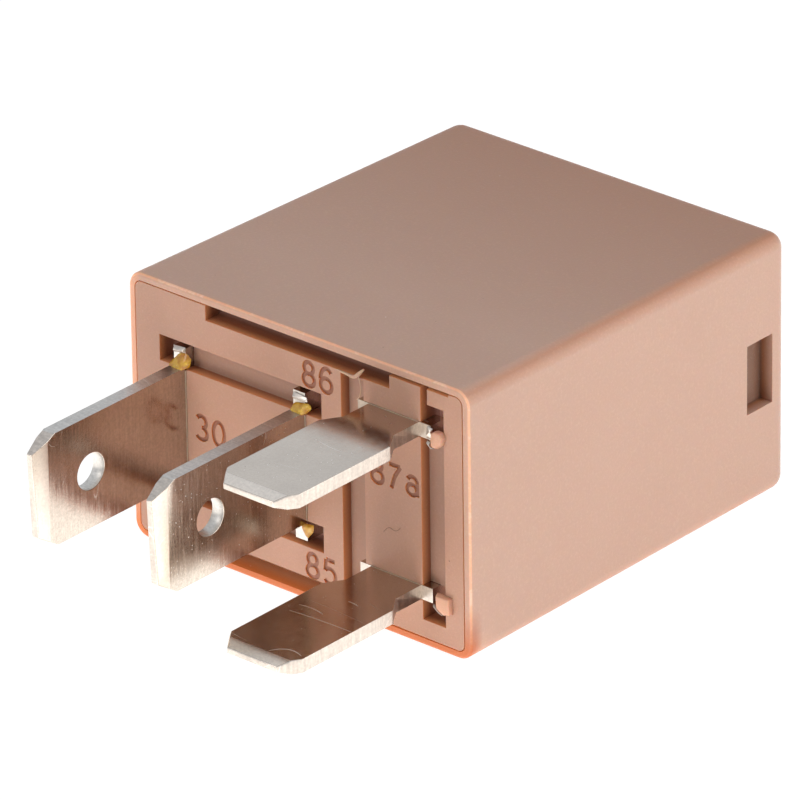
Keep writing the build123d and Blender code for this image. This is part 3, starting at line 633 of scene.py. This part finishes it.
def applied(piece):
    """Turns a piece's modifiers into its plain mesh."""
    graph = bpy.context.evaluated_depsgraph_get()
    mesh = bpy.data.meshes.new_from_object(piece.evaluated_get(graph))
    piece.modifiers.clear()
    piece.data = mesh
    mesh.name = piece.name
    return piece


def rounded(piece, width, chosen):
    """Rounds the sharp edges that a test of both ends picks; width in millimetres."""
    least_angle, least_length = radians(25), 0.08 * MM
    mesh = piece.data
    work = bmesh.new()
    work.from_mesh(mesh)
    weight = work.edges.layers.float.new("bevel_weight_edge")
    for edge in work.edges:
        sharp = len(edge.link_faces) == 2 and edge.calc_face_angle_signed(0.0) > least_angle
        long = edge.calc_length() > least_length
        if sharp and long and all(chosen(vertex.co / MM) for vertex in edge.verts):
            edge[weight] = 1.0
    work.to_mesh(mesh)
    work.free()
    bevel = piece.modifiers.new("edges", "BEVEL")
    bevel.width = width * MM
    bevel.segments = 2
    bevel.limit_method = "WEIGHT"
    bevel.use_clamp_overlap = False
    return applied(piece)


def shade(piece, angle=32):
    """Smooth shading that breaks at sharp edges and between two broad facets, and keeps flats flat."""
    broad_angle, broad_area = 5, 2.0 * MM * MM
    piece.data.shade_smooth()
    work = bmesh.new()
    work.from_mesh(piece.data)
    for edge in work.edges:
        if len(edge.link_faces) == 2:
            broad = min(face.calc_area() for face in edge.link_faces) > broad_area
            if edge.calc_face_angle(0.0) > radians(broad_angle if broad else angle):
                edge.smooth = False
    work.to_mesh(piece.data)
    work.free()
    flats = piece.modifiers.new("flats", "WEIGHTED_NORMAL")
    flats.keep_sharp = True
    flats.weight = 100
    return applied(piece)


def dress(piece, *materials):
    """Gives a piece its materials."""
    piece.data.materials.clear()
    for material in materials:
        piece.data.materials.append(material)
    return piece


def place(piece, slot, body="root", node=None):
    """Lets a piece ride on a body, in place of a CAD node if one is given; the slot is not used."""
    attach(piece, body)
    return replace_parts(piece, node) if node else piece


# Stamped figures: strokes as lists of points round the middle of a glyph, in millimetres

def arc(middle, radii, start, end, steps=14):
    """Points along part of an ellipse; angles in degrees."""
    angles = [radians(start + (end - start) * step / steps) for step in range(steps + 1)]
    return [(middle[0] + radii[0] * cos(a), middle[1] + radii[1] * sin(a)) for a in angles]


GLYPHS = {
    "0": [arc((0, 0), (0.38, 0.67), 0, 360, 20)],
    "3": [arc((-0.02, 0.33), (0.33, 0.34), 150, -85), arc((-0.02, -0.32), (0.38, 0.35), 85, -150)],
    "5": [[(0.34, 0.67), (-0.25, 0.67)], [(-0.25, 0.67), (-0.32, 0.02)],
          arc((-0.02, -0.23), (0.40, 0.43), 140, -145)],
    "6": [arc((0, -0.28), (0.38, 0.39), 0, 360, 18),
          arc((0.04, -0.02), (0.42, 0.69), 180, 45, 10)],
    "7": [[(-0.38, 0.67), (0.38, 0.67)], [(0.38, 0.67), (0.0, 0.05), (-0.24, -0.67)]],
    "8": [arc((0, 0.34), (0.31, 0.33), 0, 360, 16), arc((0, -0.32), (0.38, 0.35), 0, 360, 18)],
    "a": [arc((0.0, 0.08), (0.33, 0.33), 160, 0, 8), [(0.33, 0.08), (0.33, -0.66)],
          arc((-0.03, -0.34), (0.33, 0.30), 0, 360, 16)],
}
# The left side and the middle height of each figure on the face.
FIGURES = {"30": (-7.10, 7.63), "86": (0.33, 12.99), "85": (0.36, 2.12), "87a": (4.86, 8.96),
           "87": (0.95, 7.63)}


def stroke_outline(points, width):
    """The left and right sides of a stroke, in the plane of the face."""
    closed = hypot(points[0][0] - points[-1][0], points[0][1] - points[-1][1]) < 1e-6
    path = points[:-1] if closed else points
    count = len(path)
    sides = ([], [])
    for index, (x, z) in enumerate(path):
        before = path[index - 1] if closed or index else path[0]
        after = path[(index + 1) % count] if closed or index < count - 1 else path[-1]
        along = Vector((after[0] - before[0], after[1] - before[1])).normalized()
        for side, sign in zip(sides, (1, -1)):
            side.append((x - sign * along.y * width / 2, z + sign * along.x * width / 2))
    return sides, closed


def stroke_cutter(points, width, front, back):
    """A closed prism that cuts one stroke into the terminal face."""
    (left, right), closed = stroke_outline(points, width)
    mesh = bpy.data.meshes.new("stroke")
    work = bmesh.new()
    rings = []
    for (lx, lz), (rx, rz) in zip(left, right):
        rings.append([work.verts.new((x * MM, y * MM, z * MM)) for x, y, z in (
            (lx, front, lz), (rx, front, rz), (rx, back, rz), (lx, back, lz))])
    pairs = list(zip(rings, rings[1:] + rings[:1])) if closed else list(zip(rings, rings[1:]))
    for first, second in pairs:
        for corner in range(4):
            after = (corner + 1) % 4
            work.faces.new((first[corner], first[after], second[after], second[corner]))
    if not closed:
        work.faces.new(reversed(rings[0]))
        work.faces.new(rings[-1])
    bmesh.ops.recalc_face_normals(work, faces=work.faces)
    work.to_mesh(mesh)
    work.free()
    return linked("stroke", mesh)


def stamp(piece, text, left, middle):
    """Cuts a figure's strokes into the terminal face."""
    for index, letter in enumerate(text):
        centre = left + FIGURE_MIDDLE + index * STAMP_ADVANCE
        for stroke in GLYPHS[letter]:
            points = [(centre + x, middle + z) for x, z in stroke]
            cutter = stroke_cutter(points, STAMP_WIDTH, FACE - STAMP_DEPTH, FACE + STAMP_DEPTH)
            cut = piece.modifiers.new("cut", "BOOLEAN")
            cut.operation = "DIFFERENCE"
            cut.solver = "EXACT"
            cut.object = cutter
            applied(piece)
            bpy.data.objects.remove(cutter)


# The case and the base

cover_shell = dress(shade(clean_copy("cover", "cover_shell")), COVER_PLASTIC)
place(cover_shell, "cover_plastic", node="cover")

base_plate = rounded(clean_copy("base", "base_plate"), LIP_RADIUS,
                     lambda p: abs(p.y - FACE) < FACE_SLACK)
for text, (left, middle) in FIGURES.items():
    stamp(base_plate, text, left, middle)
place(dress(shade(base_plate), BASE_PLASTIC), "base_plastic", node="base")


# The four blades

# The order of a blade's four materials.
ROLLED, EDGE, COINED, END = range(4)


def plated_blade(node, face_material, edge_material, thin_axis):
    """A terminal with softened edges, rougher metal where it was sheared, and a coined tip."""
    piece = rounded(clean_copy(node, node + "_plated"), BLADE_EDGE_RADIUS,
                    lambda p: p.y < FACE - 2 * ROOT_MARGIN)
    dress(shade(piece, 40), face_material, edge_material, COINED_TIN_AND_HIGHLIGHT, SHEARED_TIN)
    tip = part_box(node)[0].y / MM
    for face in piece.data.polygons:
        across = abs(face.normal[thin_axis])
        if face.center.y > FACE * MM + ROOT_MARGIN * MM:
            face.material_index = ROLLED
        elif across < 0.5:
            end = face.center.y / MM < tip + COINED_LENGTH or face.normal.z < -0.5
            face.material_index = END if end else EDGE
        elif 0.85 < across < 0.99 and face.area > MM * MM:
            face.material_index = COINED
    place(piece, "tinned_brass", node=node)


plated_blade("terminal_30", UPRIGHT_TIN, SHEARED_UPRIGHT_PAINTED_LIGHT, 0)
plated_blade("terminal_87", UPRIGHT_TIN, SHEARED_UPRIGHT_PAINTED_LIGHT, 0)
plated_blade("terminal_85", MARKED_TIN, SHEARED_TIN, 2)
plated_blade("terminal_86", FLAT_TIN, SHEARED_TIN, 2)


# Resin, staking and mould flash round the blades; their depths count from the terminal face

SOFT_PLASTIC = 0.05
CRISP_PLASTIC = 0.03
THIN_METAL = 0.02


def nugget(name, points, material, slot, softness=SOFT_PLASTIC):
    """A small irregular lump: the hull of a few points, with softened edges."""
    work = bmesh.new()
    for x, y, z in points:
        work.verts.new((x * MM, (FACE + y) * MM, z * MM))
    bmesh.ops.convex_hull(work, input=work.verts)
    loose = [v for v in work.verts if not v.link_faces]
    bmesh.ops.delete(work, geom=loose, context="VERTS")
    bmesh.ops.bevel(work, geom=list(work.edges) + list(work.verts), offset=softness * MM,
                    segments=2, affect="EDGES", profile=0.5)
    mesh = bpy.data.meshes.new(name)
    work.to_mesh(mesh)
    work.free()
    return place(dress(shade(linked(name, mesh), 40), material), slot)


nugget("resin_30", [(-8.85, 0.02, 10.62), (-8.05, 0.02, 11.50), (-7.62, 0.02, 11.62),
                    (-7.20, 0.02, 11.38), (-7.35, 0.02, 10.80), (-8.46, -0.40, 10.66),
                    (-7.70, -0.45, 10.68), (-7.62, -0.28, 11.15), (-8.30, -0.20, 11.05)],
       RESIN, "solder")
nugget("resin_87_upper", [(-0.45, 0.02, 10.62), (-0.20, 0.02, 11.15), (0.78, 0.02, 11.32),
                          (1.02, 0.02, 11.10), (0.62, 0.02, 10.66), (-0.28, -0.36, 10.66),
                          (0.48, -0.38, 10.68), (0.55, -0.25, 11.02)], RESIN, "solder")
nugget("resin_87_lower", [(0.20, 0.02, 4.42), (1.00, 0.02, 4.48), (0.96, 0.02, 4.05), (0.55, 0.02, 3.55),
                          (0.25, -0.18, 4.20), (0.80, -0.18, 4.35), (0.52, -0.15, 3.75)],
       RESIN, "solder")
nugget("burr_30", [(-8.46, 0.0, 11.42), (-8.40, 0.0, 11.84), (-7.62, 0.0, 11.90), (-7.58, 0.0, 11.55),
                   (-8.38, -0.14, 11.60), (-7.75, -0.20, 11.70)], SHEARED_TIN, "tinned_brass", THIN_METAL)
nugget("burr_87_upper", [(-0.30, 0.0, 11.30), (-0.25, 0.0, 11.72), (0.66, 0.0, 11.62),
                         (0.70, 0.0, 11.35), (-0.22, -0.16, 11.48), (0.60, -0.12, 11.40)],
       SHEARED_TIN, "tinned_brass", THIN_METAL)
nugget("burr_86", [(8.70, 0.0, 11.84), (8.72, 0.0, 12.58), (9.10, 0.0, 12.50), (9.06, 0.0, 11.92),
                   (8.80, -0.22, 12.10), (9.02, -0.16, 12.36)], SHEARED_TIN, "tinned_brass", THIN_METAL)
nugget("stake_86", [(9.14, 0.02, 12.35), (9.44, 0.02, 12.55), (9.82, 0.02, 12.54), (9.98, 0.02, 12.28),
                    (9.86, 0.02, 11.80), (9.43, 0.02, 11.46), (9.12, 0.02, 11.50), (9.05, 0.02, 11.86),
                    (9.18, -0.30, 12.35), (9.44, -0.34, 12.52), (9.78, -0.32, 12.48),
                    (9.90, -0.30, 12.26), (9.80, -0.32, 11.90), (9.43, -0.34, 11.62),
                    (9.18, -0.30, 11.68)], STAKED_PLASTIC, "base_plastic", SOFT_PLASTIC)
nugget("curl_86", [(8.71, 0.0, 11.76), (8.67, 0.0, 11.60), (8.93, 0.0, 11.36), (9.20, 0.0, 11.38),
                   (9.10, 0.0, 11.50), (8.94, 0.0, 11.72), (8.76, -0.16, 11.66), (9.08, -0.18, 11.44),
                   (8.95, -0.20, 11.60)], SHEARED_TIN, "tinned_brass", THIN_METAL)
nugget("stake_85", [(9.26, 0.02, 3.36), (9.46, 0.02, 3.10), (10.28, 0.02, 3.32), (10.30, 0.02, 2.40),
                    (9.84, 0.02, 2.22), (9.35, 0.02, 2.42), (9.24, 0.02, 2.78), (9.34, -0.26, 3.24),
                    (9.50, -0.28, 3.04), (10.26, -0.32, 3.30), (10.28, -0.32, 2.48),
                    (9.86, -0.28, 2.34), (9.38, -0.26, 2.58)],
       STAKED_PLASTIC, "base_plastic", CRISP_PLASTIC)
nugget("curl_85", [(8.96, 0.0, 2.62), (9.23, 0.0, 2.36), (9.56, 0.0, 2.15), (9.78, 0.0, 2.17),
                   (9.45, 0.0, 2.42), (9.12, 0.0, 2.64), (9.10, -0.18, 2.54), (9.50, -0.20, 2.28),
                   (9.68, -0.16, 2.20)], SHEARED_TIN, "tinned_brass", THIN_METAL)


def strand(name, points, radii, material, slot):
    """A thin thread through a few points, with a radius at each."""
    curve = bpy.data.curves.new(name, "CURVE")
    curve.dimensions = "3D"
    curve.bevel_depth = MM
    curve.bevel_resolution = 2
    curve.use_fill_caps = True
    line = curve.splines.new("NURBS")
    line.points.add(len(points) - 1)
    for point, (x, y, z), radius in zip(line.points, points, radii):
        point.co = (x * MM, (FACE + y) * MM, z * MM, 1)
        point.radius = radius
    line.order_u = 3
    line.use_endpoint_u = True
    source = linked(name + "_path", curve)
    mesh = bpy.data.meshes.new_from_object(source)
    bpy.data.objects.remove(source)
    mesh.name = name
    return place(dress(shade(linked(name, mesh), 60), material), slot)


strand("flash_curl", [(2.75, -0.01, 13.86), (3.40, -0.05, 13.84), (3.98, -0.08, 13.80),
                      (4.30, -0.12, 14.12), (4.62, -0.10, 14.46)],
       (0.03, 0.07, 0.11, 0.13, 0.05), FLASH_PLASTIC, "base_plastic")
strand("flash_thread", [(4.22, -0.10, 14.10), (4.44, -0.12, 13.50), (4.38, -0.12, 12.86),
                        (3.96, 0.10, 12.50)],
       (0.04, 0.02, 0.02, 0.03), FLASH_PLASTIC, "base_plastic")
strand("lint", [(5.70, -0.01, 5.62), (5.95, -0.02, 5.96), (6.20, -0.02, 6.02), (6.38, -0.02, 5.92),
                (6.68, -0.02, 5.98), (6.84, -0.01, 6.20)], (0.008, 0.010, 0.010, 0.010, 0.010, 0.008),
       scrap_material("lint_fibre", (0.16, 0.09, 0.06)), "base_plastic")


SEAL = scrap_material("seal_resin", (0.46, 0.31, 0.22))
SEAL_POINTS = (-1.0, -0.3, 0.3, 1.0)
SEAL_RADII = (0.025, 0.04, 0.03, 0.04)
# The middle of each blade at the face, and half the length of its seal.
UPRIGHT_BLADES = {"terminal_30": (-8.06, 7.6, 3.0), "terminal_87": (0.1, 7.6, 3.0)}
FLAT_BLADES = {"terminal_85": (6.5, 3.0, 1.65), "terminal_86": (6.5, 12.2, 1.65)}


def root_seal(node, path):
    """A thin pale line of resin where one face of a blade meets the base."""
    strand("seal_" + node[-2:], path, SEAL_RADII, SEAL, "solder")


for node, (x, z, reach) in UPRIGHT_BLADES.items():
    root_seal(node, [(x + HALF_BLADE + SEAL_PROUD, -SEAL_PROUD, z + end * reach) for end in SEAL_POINTS])
for node, (x, z, reach) in FLAT_BLADES.items():
    root_seal(node, [(x + end * reach, -SEAL_PROUD, z + HALF_BLADE + SEAL_PROUD) for end in SEAL_POINTS])


# The works

WORKS = {
    "yoke": PLATED_IRON, "core": PLATED_IRON, "armature": PLATED_IRON,
    "bobbin": plain_plastic("bobbin_plastic", (0.62, 0.57, 0.46), 0.42, 0.25),
    "back_stop": plain_metal("back_stop_bronze", (0.70, 0.42, 0.22), 0.26, (2.0, 0.4, 2.0)),
    "fixed_contact": plain_metal("contact_silver", (0.86, 0.85, 0.82), 0.18),
    "yoke_rivets": plain_metal("rivet_steel", (0.58, 0.57, 0.55), 0.28),
    "resistor_leads": plain_metal("tinned_wire", (0.74, 0.72, 0.68), 0.24),
    "solder_joints": plain_metal("solder", (0.70, 0.69, 0.66), 0.20),
}
WORKS["moving_contact"] = WORKS["fixed_contact"]
WORKS["armature_rivets"] = WORKS["yoke_rivets"]
resistor_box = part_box("suppression_resistor")
WORKS["suppression_resistor"] = banded(
    "resistor_coating", (resistor_box[0].z + resistor_box[1].z) / 2 / MM,
    [(0.22, 0.07, 0.02), (0.02, 0.02, 0.02), (0.45, 0.03, 0.02), (0.60, 0.38, 0.08)], 1.0)
for node, material in WORKS.items():
    dress(NODES[node], material)


def ring_stack():
    """Geometry nodes that repeat a wire ring along Y, one turn beside the next."""
    group = bpy.data.node_groups.new("ring_stack", "GeometryNodeTree")
    group.interface.new_socket(name="Geometry", in_out="OUTPUT", socket_type="NodeSocketGeometry")
    for label, kind in (("Turns", "NodeSocketInt"), ("Coil Radius", NUMBER), ("Wire Radius", NUMBER),
                        ("Pitch", NUMBER), ("Wire", "NodeSocketMaterial")):
        group.interface.new_socket(name=label, in_out="INPUT", socket_type=kind)
    nodes, links = group.nodes, group.links
    given = nodes.new("NodeGroupInput").outputs
    turn = nodes.new("GeometryNodeCurvePrimitiveCircle")
    wire = nodes.new("GeometryNodeCurvePrimitiveCircle")
    turn.inputs["Resolution"].default_value = 40
    wire.inputs["Resolution"].default_value = 6
    links.new(given["Coil Radius"], turn.inputs["Radius"])
    links.new(given["Wire Radius"], wire.inputs["Radius"])
    ring = nodes.new("GeometryNodeCurveToMesh")
    links.new(turn.outputs["Curve"], ring.inputs["Curve"])
    links.new(wire.outputs["Curve"], ring.inputs["Profile Curve"])
    row = nodes.new("GeometryNodeMeshLine")
    offset = nodes.new("ShaderNodeCombineXYZ")
    links.new(given["Turns"], row.inputs["Count"])
    links.new(given["Pitch"], offset.inputs["Y"])
    links.new(offset.outputs["Vector"], row.inputs["Offset"])
    copies = nodes.new("GeometryNodeInstanceOnPoints")
    copies.inputs["Rotation"].default_value = (pi / 2, 0, 0)
    links.new(row.outputs["Mesh"], copies.inputs["Points"])
    links.new(ring.outputs["Mesh"], copies.inputs["Instance"])
    real = nodes.new("GeometryNodeRealizeInstances")
    dressed = nodes.new("GeometryNodeSetMaterial")
    smooth = nodes.new("GeometryNodeSetShadeSmooth")
    links.new(copies.outputs["Instances"], real.inputs["Geometry"])
    links.new(real.outputs["Geometry"], dressed.inputs["Geometry"])
    links.new(given["Wire"], dressed.inputs["Material"])
    links.new(dressed.outputs["Geometry"], smooth.inputs["Geometry"])
    links.new(smooth.outputs["Geometry"], nodes.new("NodeGroupOutput").inputs[0])
    return group


def wound_coil():
    """The winding: the CAD solid drawn in a little, under one layer of single turns."""
    copper = copper_wire()
    body = clean_copy("coil_winding", "coil_turns")
    low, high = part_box("core")
    axis = ((low.x + high.x) / 2, (low.z + high.z) / 2)
    reach = [hypot(v.co.x - axis[0], v.co.z - axis[1]) for v in body.data.vertices]
    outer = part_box("coil_winding")[1].z - axis[1]
    slack, sunk = 0.03 * MM, 1.3
    rim = [v for v, r in zip(body.data.vertices, reach) if abs(r - outer) < slack]
    start, end = min(v.co.y for v in rim), max(v.co.y for v in rim)
    wire_radius = WIRE_RADIUS * MM
    for vertex in rim:
        vertex.co.x = axis[0] + (vertex.co.x - axis[0]) * (1 - wire_radius / outer)
        vertex.co.z = axis[1] + (vertex.co.z - axis[1]) * (1 - wire_radius / outer)
    turns = int((end - start) / (2 * wire_radius))
    carrier = linked("turns", bpy.data.meshes.new("turns"))
    stack = carrier.modifiers.new("turns", "NODES")
    stack.node_group = ring_stack()
    values = {"Turns": turns, "Coil Radius": outer - sunk * wire_radius, "Wire Radius": wire_radius,
              "Pitch": (end - start) / turns, "Wire": copper}
    for item in stack.node_group.interface.items_tree:
        if item.name in values:
            stack[item.identifier] = values[item.name]
    rings = applied(carrier).data
    rings.transform(Matrix.Translation((axis[0], start + wire_radius, axis[1])))
    work = bmesh.new()
    work.from_mesh(body.data)
    work.from_mesh(rings)
    work.to_mesh(body.data)
    work.free()
    bpy.data.objects.remove(carrier)
    place(dress(shade(body, 50), copper), "enamelled_copper", node="coil_winding")


wound_coil()


def bending_spring():
    """The contact spring, cut finer in even steps along X and Y."""
    leaf = clean_copy("contact_spring", "contact_leaf")
    work = bmesh.new()
    work.from_mesh(leaf.data)
    bmesh.ops.triangulate(work, faces=work.faces)
    for axis in (1, 0):
        low = min(v.co[axis] for v in work.verts) / MM
        high = max(v.co[axis] for v in work.verts) / MM
        normal = Vector((axis == 0, axis == 1, 0))
        for index in range(1, int((high - low) / LEAF_STEP)):
            bmesh.ops.bisect_plane(work, geom=list(work.verts) + list(work.edges) + list(work.faces),
                                   plane_co=normal * (low + index * LEAF_STEP) * MM, plane_no=normal)
    work.to_mesh(leaf.data)
    work.free()
    dress(shade(leaf), plain_metal("spring_bronze", (0.72, 0.44, 0.22), 0.22, (2.0, 0.4, 2.0)))
    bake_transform(leaf)
    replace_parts(leaf, "contact_spring")


bending_spring()


# Floor, light and camera

def floor():
    """A plain pale floor, white to the camera and the metal, that lets the lamp below shine through."""
    reach, drop = 1.5, 0.02 * MM
    seen_by_camera, seen_by_metal, share = 1.10, 2.35, 0.88
    mesh = bpy.data.meshes.new("floor")
    corners = [(-reach, -reach), (reach, -reach), (reach, reach), (-reach, reach)]
    mesh.from_pydata([(x, y, -drop) for x, y in corners], [], [(0, 1, 2, 3)])
    piece = linked("floor", mesh)
    material, tree, shader = new_material("pale_floor")
    nodes = material.node_tree.nodes
    tree.join(FLOOR_WHITE, shader["Base Color"])
    shader["Roughness"].default_value = 0.9
    shader["Specular IOR Level"].default_value = 0.0
    paths = tree.add("ShaderNodeLightPath").outputs
    seen = tree.math("MAXIMUM", paths["Is Camera Ray"], paths["Is Glossy Ray"])
    seen = tree.math("MAXIMUM", seen, paths["Is Transmission Ray"])
    strength = tree.ramp(paths["Is Camera Ray"], 0.0, 1.0, seen_by_metal, seen_by_camera)
    glow = tree.add("ShaderNodeEmission", Color=(1, 1, 1), Strength=strength)
    mixed = nodes.new("ShaderNodeMixShader")
    tree.join(tree.times(seen, share), mixed.inputs[0])
    tree.join(nodes["Principled BSDF"].outputs[0], mixed.inputs[1])
    tree.join(glow.outputs[0], mixed.inputs[2])
    tree.join(mixed.outputs[0], nodes["Material Output"].inputs["Surface"])
    dress(piece, material)
    piece.visible_shadow = False


def world():
    """White where the camera looks, pale to the metal, and a soft even light on the object."""
    ambient, white, room = 0.42, 1.0, 0.98
    scene = bpy.context.scene
    scene.world = bpy.data.worlds.new("studio")
    scene.world.use_nodes = True
    tree = Tree(scene.world.node_tree)
    nodes = scene.world.node_tree.nodes
    paths = tree.add("ShaderNodeLightPath").outputs
    light = nodes["Background"]
    tree.join(AMBIENT_WHITE, light.inputs["Color"])
    tree.join(ambient, light.inputs["Strength"])
    for seen, colour, strength in (("Is Glossy Ray", ROOM_WHITE, room),
                                   ("Is Camera Ray", (1, 1, 1), white)):
        shown = tree.add("ShaderNodeBackground", Color=colour, Strength=strength)
        mixed = nodes.new("ShaderNodeMixShader")
        tree.join(paths[seen], mixed.inputs[0])
        tree.join(light.outputs[0], mixed.inputs[1])
        tree.join(shown.outputs[0], mixed.inputs[2])
        light = mixed
    tree.join(light.outputs[0], nodes["World Output"].inputs["Surface"])


def direction(azimuth, elevation):
    """The unit vector from the object towards a viewer or lamp, degrees."""
    a, e = radians(azimuth), radians(elevation)
    return Vector((sin(a) * cos(e), -cos(a) * cos(e), sin(e)))


def soft_box(name, azimuth, elevation, distance, size, power):
    """A square lamp that looks at the object."""
    lamp = bpy.data.lights.new(name, "AREA")
    lamp.shape = "SQUARE"
    lamp.size = size * MM
    lamp.energy = power
    lamp.color = LAMP_WHITE
    piece = linked(name, lamp)
    back = direction(azimuth, elevation)
    piece.location = back * distance * MM + Vector((0, 0, TOP / 2 * MM))
    piece.rotation_euler = back.to_track_quat("Z", "Y").to_euler()


def camera():
    """The photograph's own view, a long lens from above the right front."""
    azimuth, elevation, roll = 41.3065, 26.0925, radians(-0.8151)
    lens, sensor, distance = 448.599, 36, 515.0
    aim = Vector((-1.5995, -3.1410, 7.1112)) * MM
    back = direction(azimuth, elevation)
    level = Vector((cos(radians(azimuth)), sin(radians(azimuth)), 0))
    right = level * cos(roll) + back.cross(level) * sin(roll)
    data = bpy.data.cameras.new("camera")
    data.lens = lens
    data.sensor_width = sensor
    data.clip_start = 0.01
    data.clip_end = 10
    piece = linked("camera", data)
    turned = Matrix((right, back.cross(right), back)).transposed().to_4x4()
    piece.matrix_world = Matrix.Translation(aim + back * distance * MM) @ turned
    bpy.context.scene.camera = piece


floor()
world()
soft_box("right_softbox", 105, 20, distance=260, size=170, power=0.41)
soft_box("front_softbox", -14, 30, distance=300, size=150, power=0.225)
soft_box("table_glow", 8, -40, distance=300, size=220, power=0.52)
camera()
bpy.context.scene.view_settings.view_transform = "Standard"
